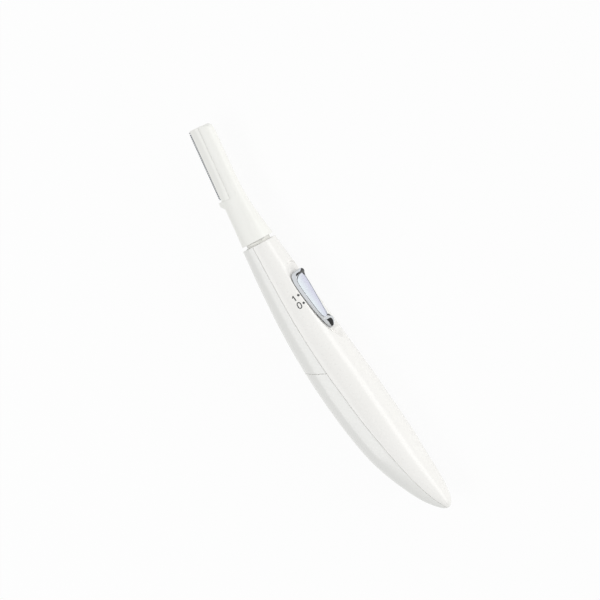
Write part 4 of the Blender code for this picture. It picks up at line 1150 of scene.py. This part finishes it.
# What lies inside keeps its CAD form
innerPieces = (
    ("filledNylon", ("switch_carriage", "chassis", "motor_end_cap")),
    ("rolledBrass", ("switch_bridge", "switch_contact", "motor_terminal_front",
                     "motor_terminal_back")),
    ("nickelSheet", ("positive_contact", "negative_contact", "negative_spring",
                     "battery_cell", "motor_can")),
    ("shrunkFilm", ("battery_cell_sleeve",)),
    ("drawnSteel", ("chassis_screw_near", "chassis_screw_far", "swivel_pin_near",
                    "swivel_pin_far", "lever_pin", "crank_pin", "motor_shaft")),
    ("sinteredFerrite", ("motor_magnet_front", "motor_magnet_back")),
    ("woundCopper", ("motor_armature",)),
    ("naturalAcetal", ("eccentric_cam", "drive_lever", "blade_slider", "bell_crank")),
)
for material, nodes in innerPieces:
    for node in nodes:
        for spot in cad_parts[node].material_slots:
            spot.material = materials[material]
print("stage: inner pieces finished")

# Floor and light
stage = {
    "floorHeight": -0.0002,
    "floorSize": 3.0,
    "floorWhite": 0.92,
    "floorTints": ("#f3f3f2", "#efefee"),
    "cloudScale": 3.0,
    "worldTint": "#f1f3f4",
    "worldStrength": 0.63,
}
white = (1, 1, 1, 1)


# 1 where a surface is seen straight, mirrored or through another, and 0 where it gives light
def studioRays(tree):
    path = addNode(tree, "ShaderNodeLightPath")
    shown = path.outputs["Is Camera Ray"]
    for other in ("Is Glossy Ray", "Is Transmission Ray"):
        shown = addNode(tree, "ShaderNodeMath", {"operation": "MAXIMUM"},
                        {0: shown, 1: path.outputs[other]}).outputs[0]
    return shown


def makeStage():
    shape = bmesh.new()
    bmesh.ops.create_grid(shape, x_segments=8, y_segments=8, size=stage["floorSize"] / 2)
    floor = addObject("paleFloor",
                      toMesh(shape, Matrix.Translation((0, 0, stage["floorHeight"]))))
    made, tree = newMaterial("paleFloor")
    place = addNode(tree, "ShaderNodeTexCoord")
    cloud = addNode(tree, "ShaderNodeTexNoise", {"Scale": stage["cloudScale"], "Detail": 2.0},
                    {"Vector": place.outputs["Object"]})
    tint = addNode(tree, "ShaderNodeMix", {"data_type": "RGBA"}, {0: cloud.outputs["Fac"]})
    tint.inputs[6].default_value = linear(stage["floorTints"][0])
    tint.inputs[7].default_value = linear(stage["floorTints"][1])
    share = addNode(tree, "ShaderNodeMath", {"operation": "MULTIPLY", 1: stage["floorWhite"]},
                    {0: studioRays(tree)})
    paint = addNode(tree, "ShaderNodeBsdfDiffuse", None, {"Color": tint.outputs[2]})
    glow = addNode(tree, "ShaderNodeEmission", {"Color": white, "Strength": 1.0})
    mixed = addNode(tree, "ShaderNodeMixShader", None,
                    {0: share.outputs[0], 1: paint.outputs[0], 2: glow.outputs[0]})
    addNode(tree, "ShaderNodeOutputMaterial", None, {"Surface": mixed.outputs[0]})
    floor.data.materials.append(made)


def makeWorld():
    world = bpy.data.worlds.new("studio")
    bpy.context.scene.world = world
    world.use_nodes = True
    tree = world.node_tree
    tree.nodes.clear()
    soft = addNode(tree, "ShaderNodeBackground",
                   {"Color": linear(stage["worldTint"]), "Strength": stage["worldStrength"]})
    bright = addNode(tree, "ShaderNodeBackground", {"Color": white, "Strength": 1.0})
    mixed = addNode(tree, "ShaderNodeMixShader", None,
                    {0: studioRays(tree), 1: soft.outputs[0], 2: bright.outputs[0]})
    addNode(tree, "ShaderNodeOutputWorld", None, {"Surface": mixed.outputs[0]})


# Each lamp: where it stands, what it looks at, its size and its power
lamps = {
    "backSoftbox": {
        "at": (0.10, 0.44, 0.66), "look": (0, 0, 0), "size": (0.8, 0.45), "power": 2.1},
    "frontSoftbox": {
        "at": (-0.15, -0.82, 0.22), "look": (0, 0, 0), "size": (1.4, 0.42), "power": 4.4},
}


def makeLamps():
    for name, lamp in lamps.items():
        data = bpy.data.lights.new(name, "AREA")
        data.shape = "RECTANGLE"
        data.size, data.size_y = lamp["size"]
        data.energy = lamp["power"]
        turn = (Vector(lamp["look"]) - Vector(lamp["at"])).to_track_quat("-Z", "Y")
        addObject(name, data).matrix_world = (
            Matrix.Translation(lamp["at"]) @ turn.to_matrix().to_4x4())


makeStage()
makeWorld()
makeLamps()
print("stage: floor and light made")
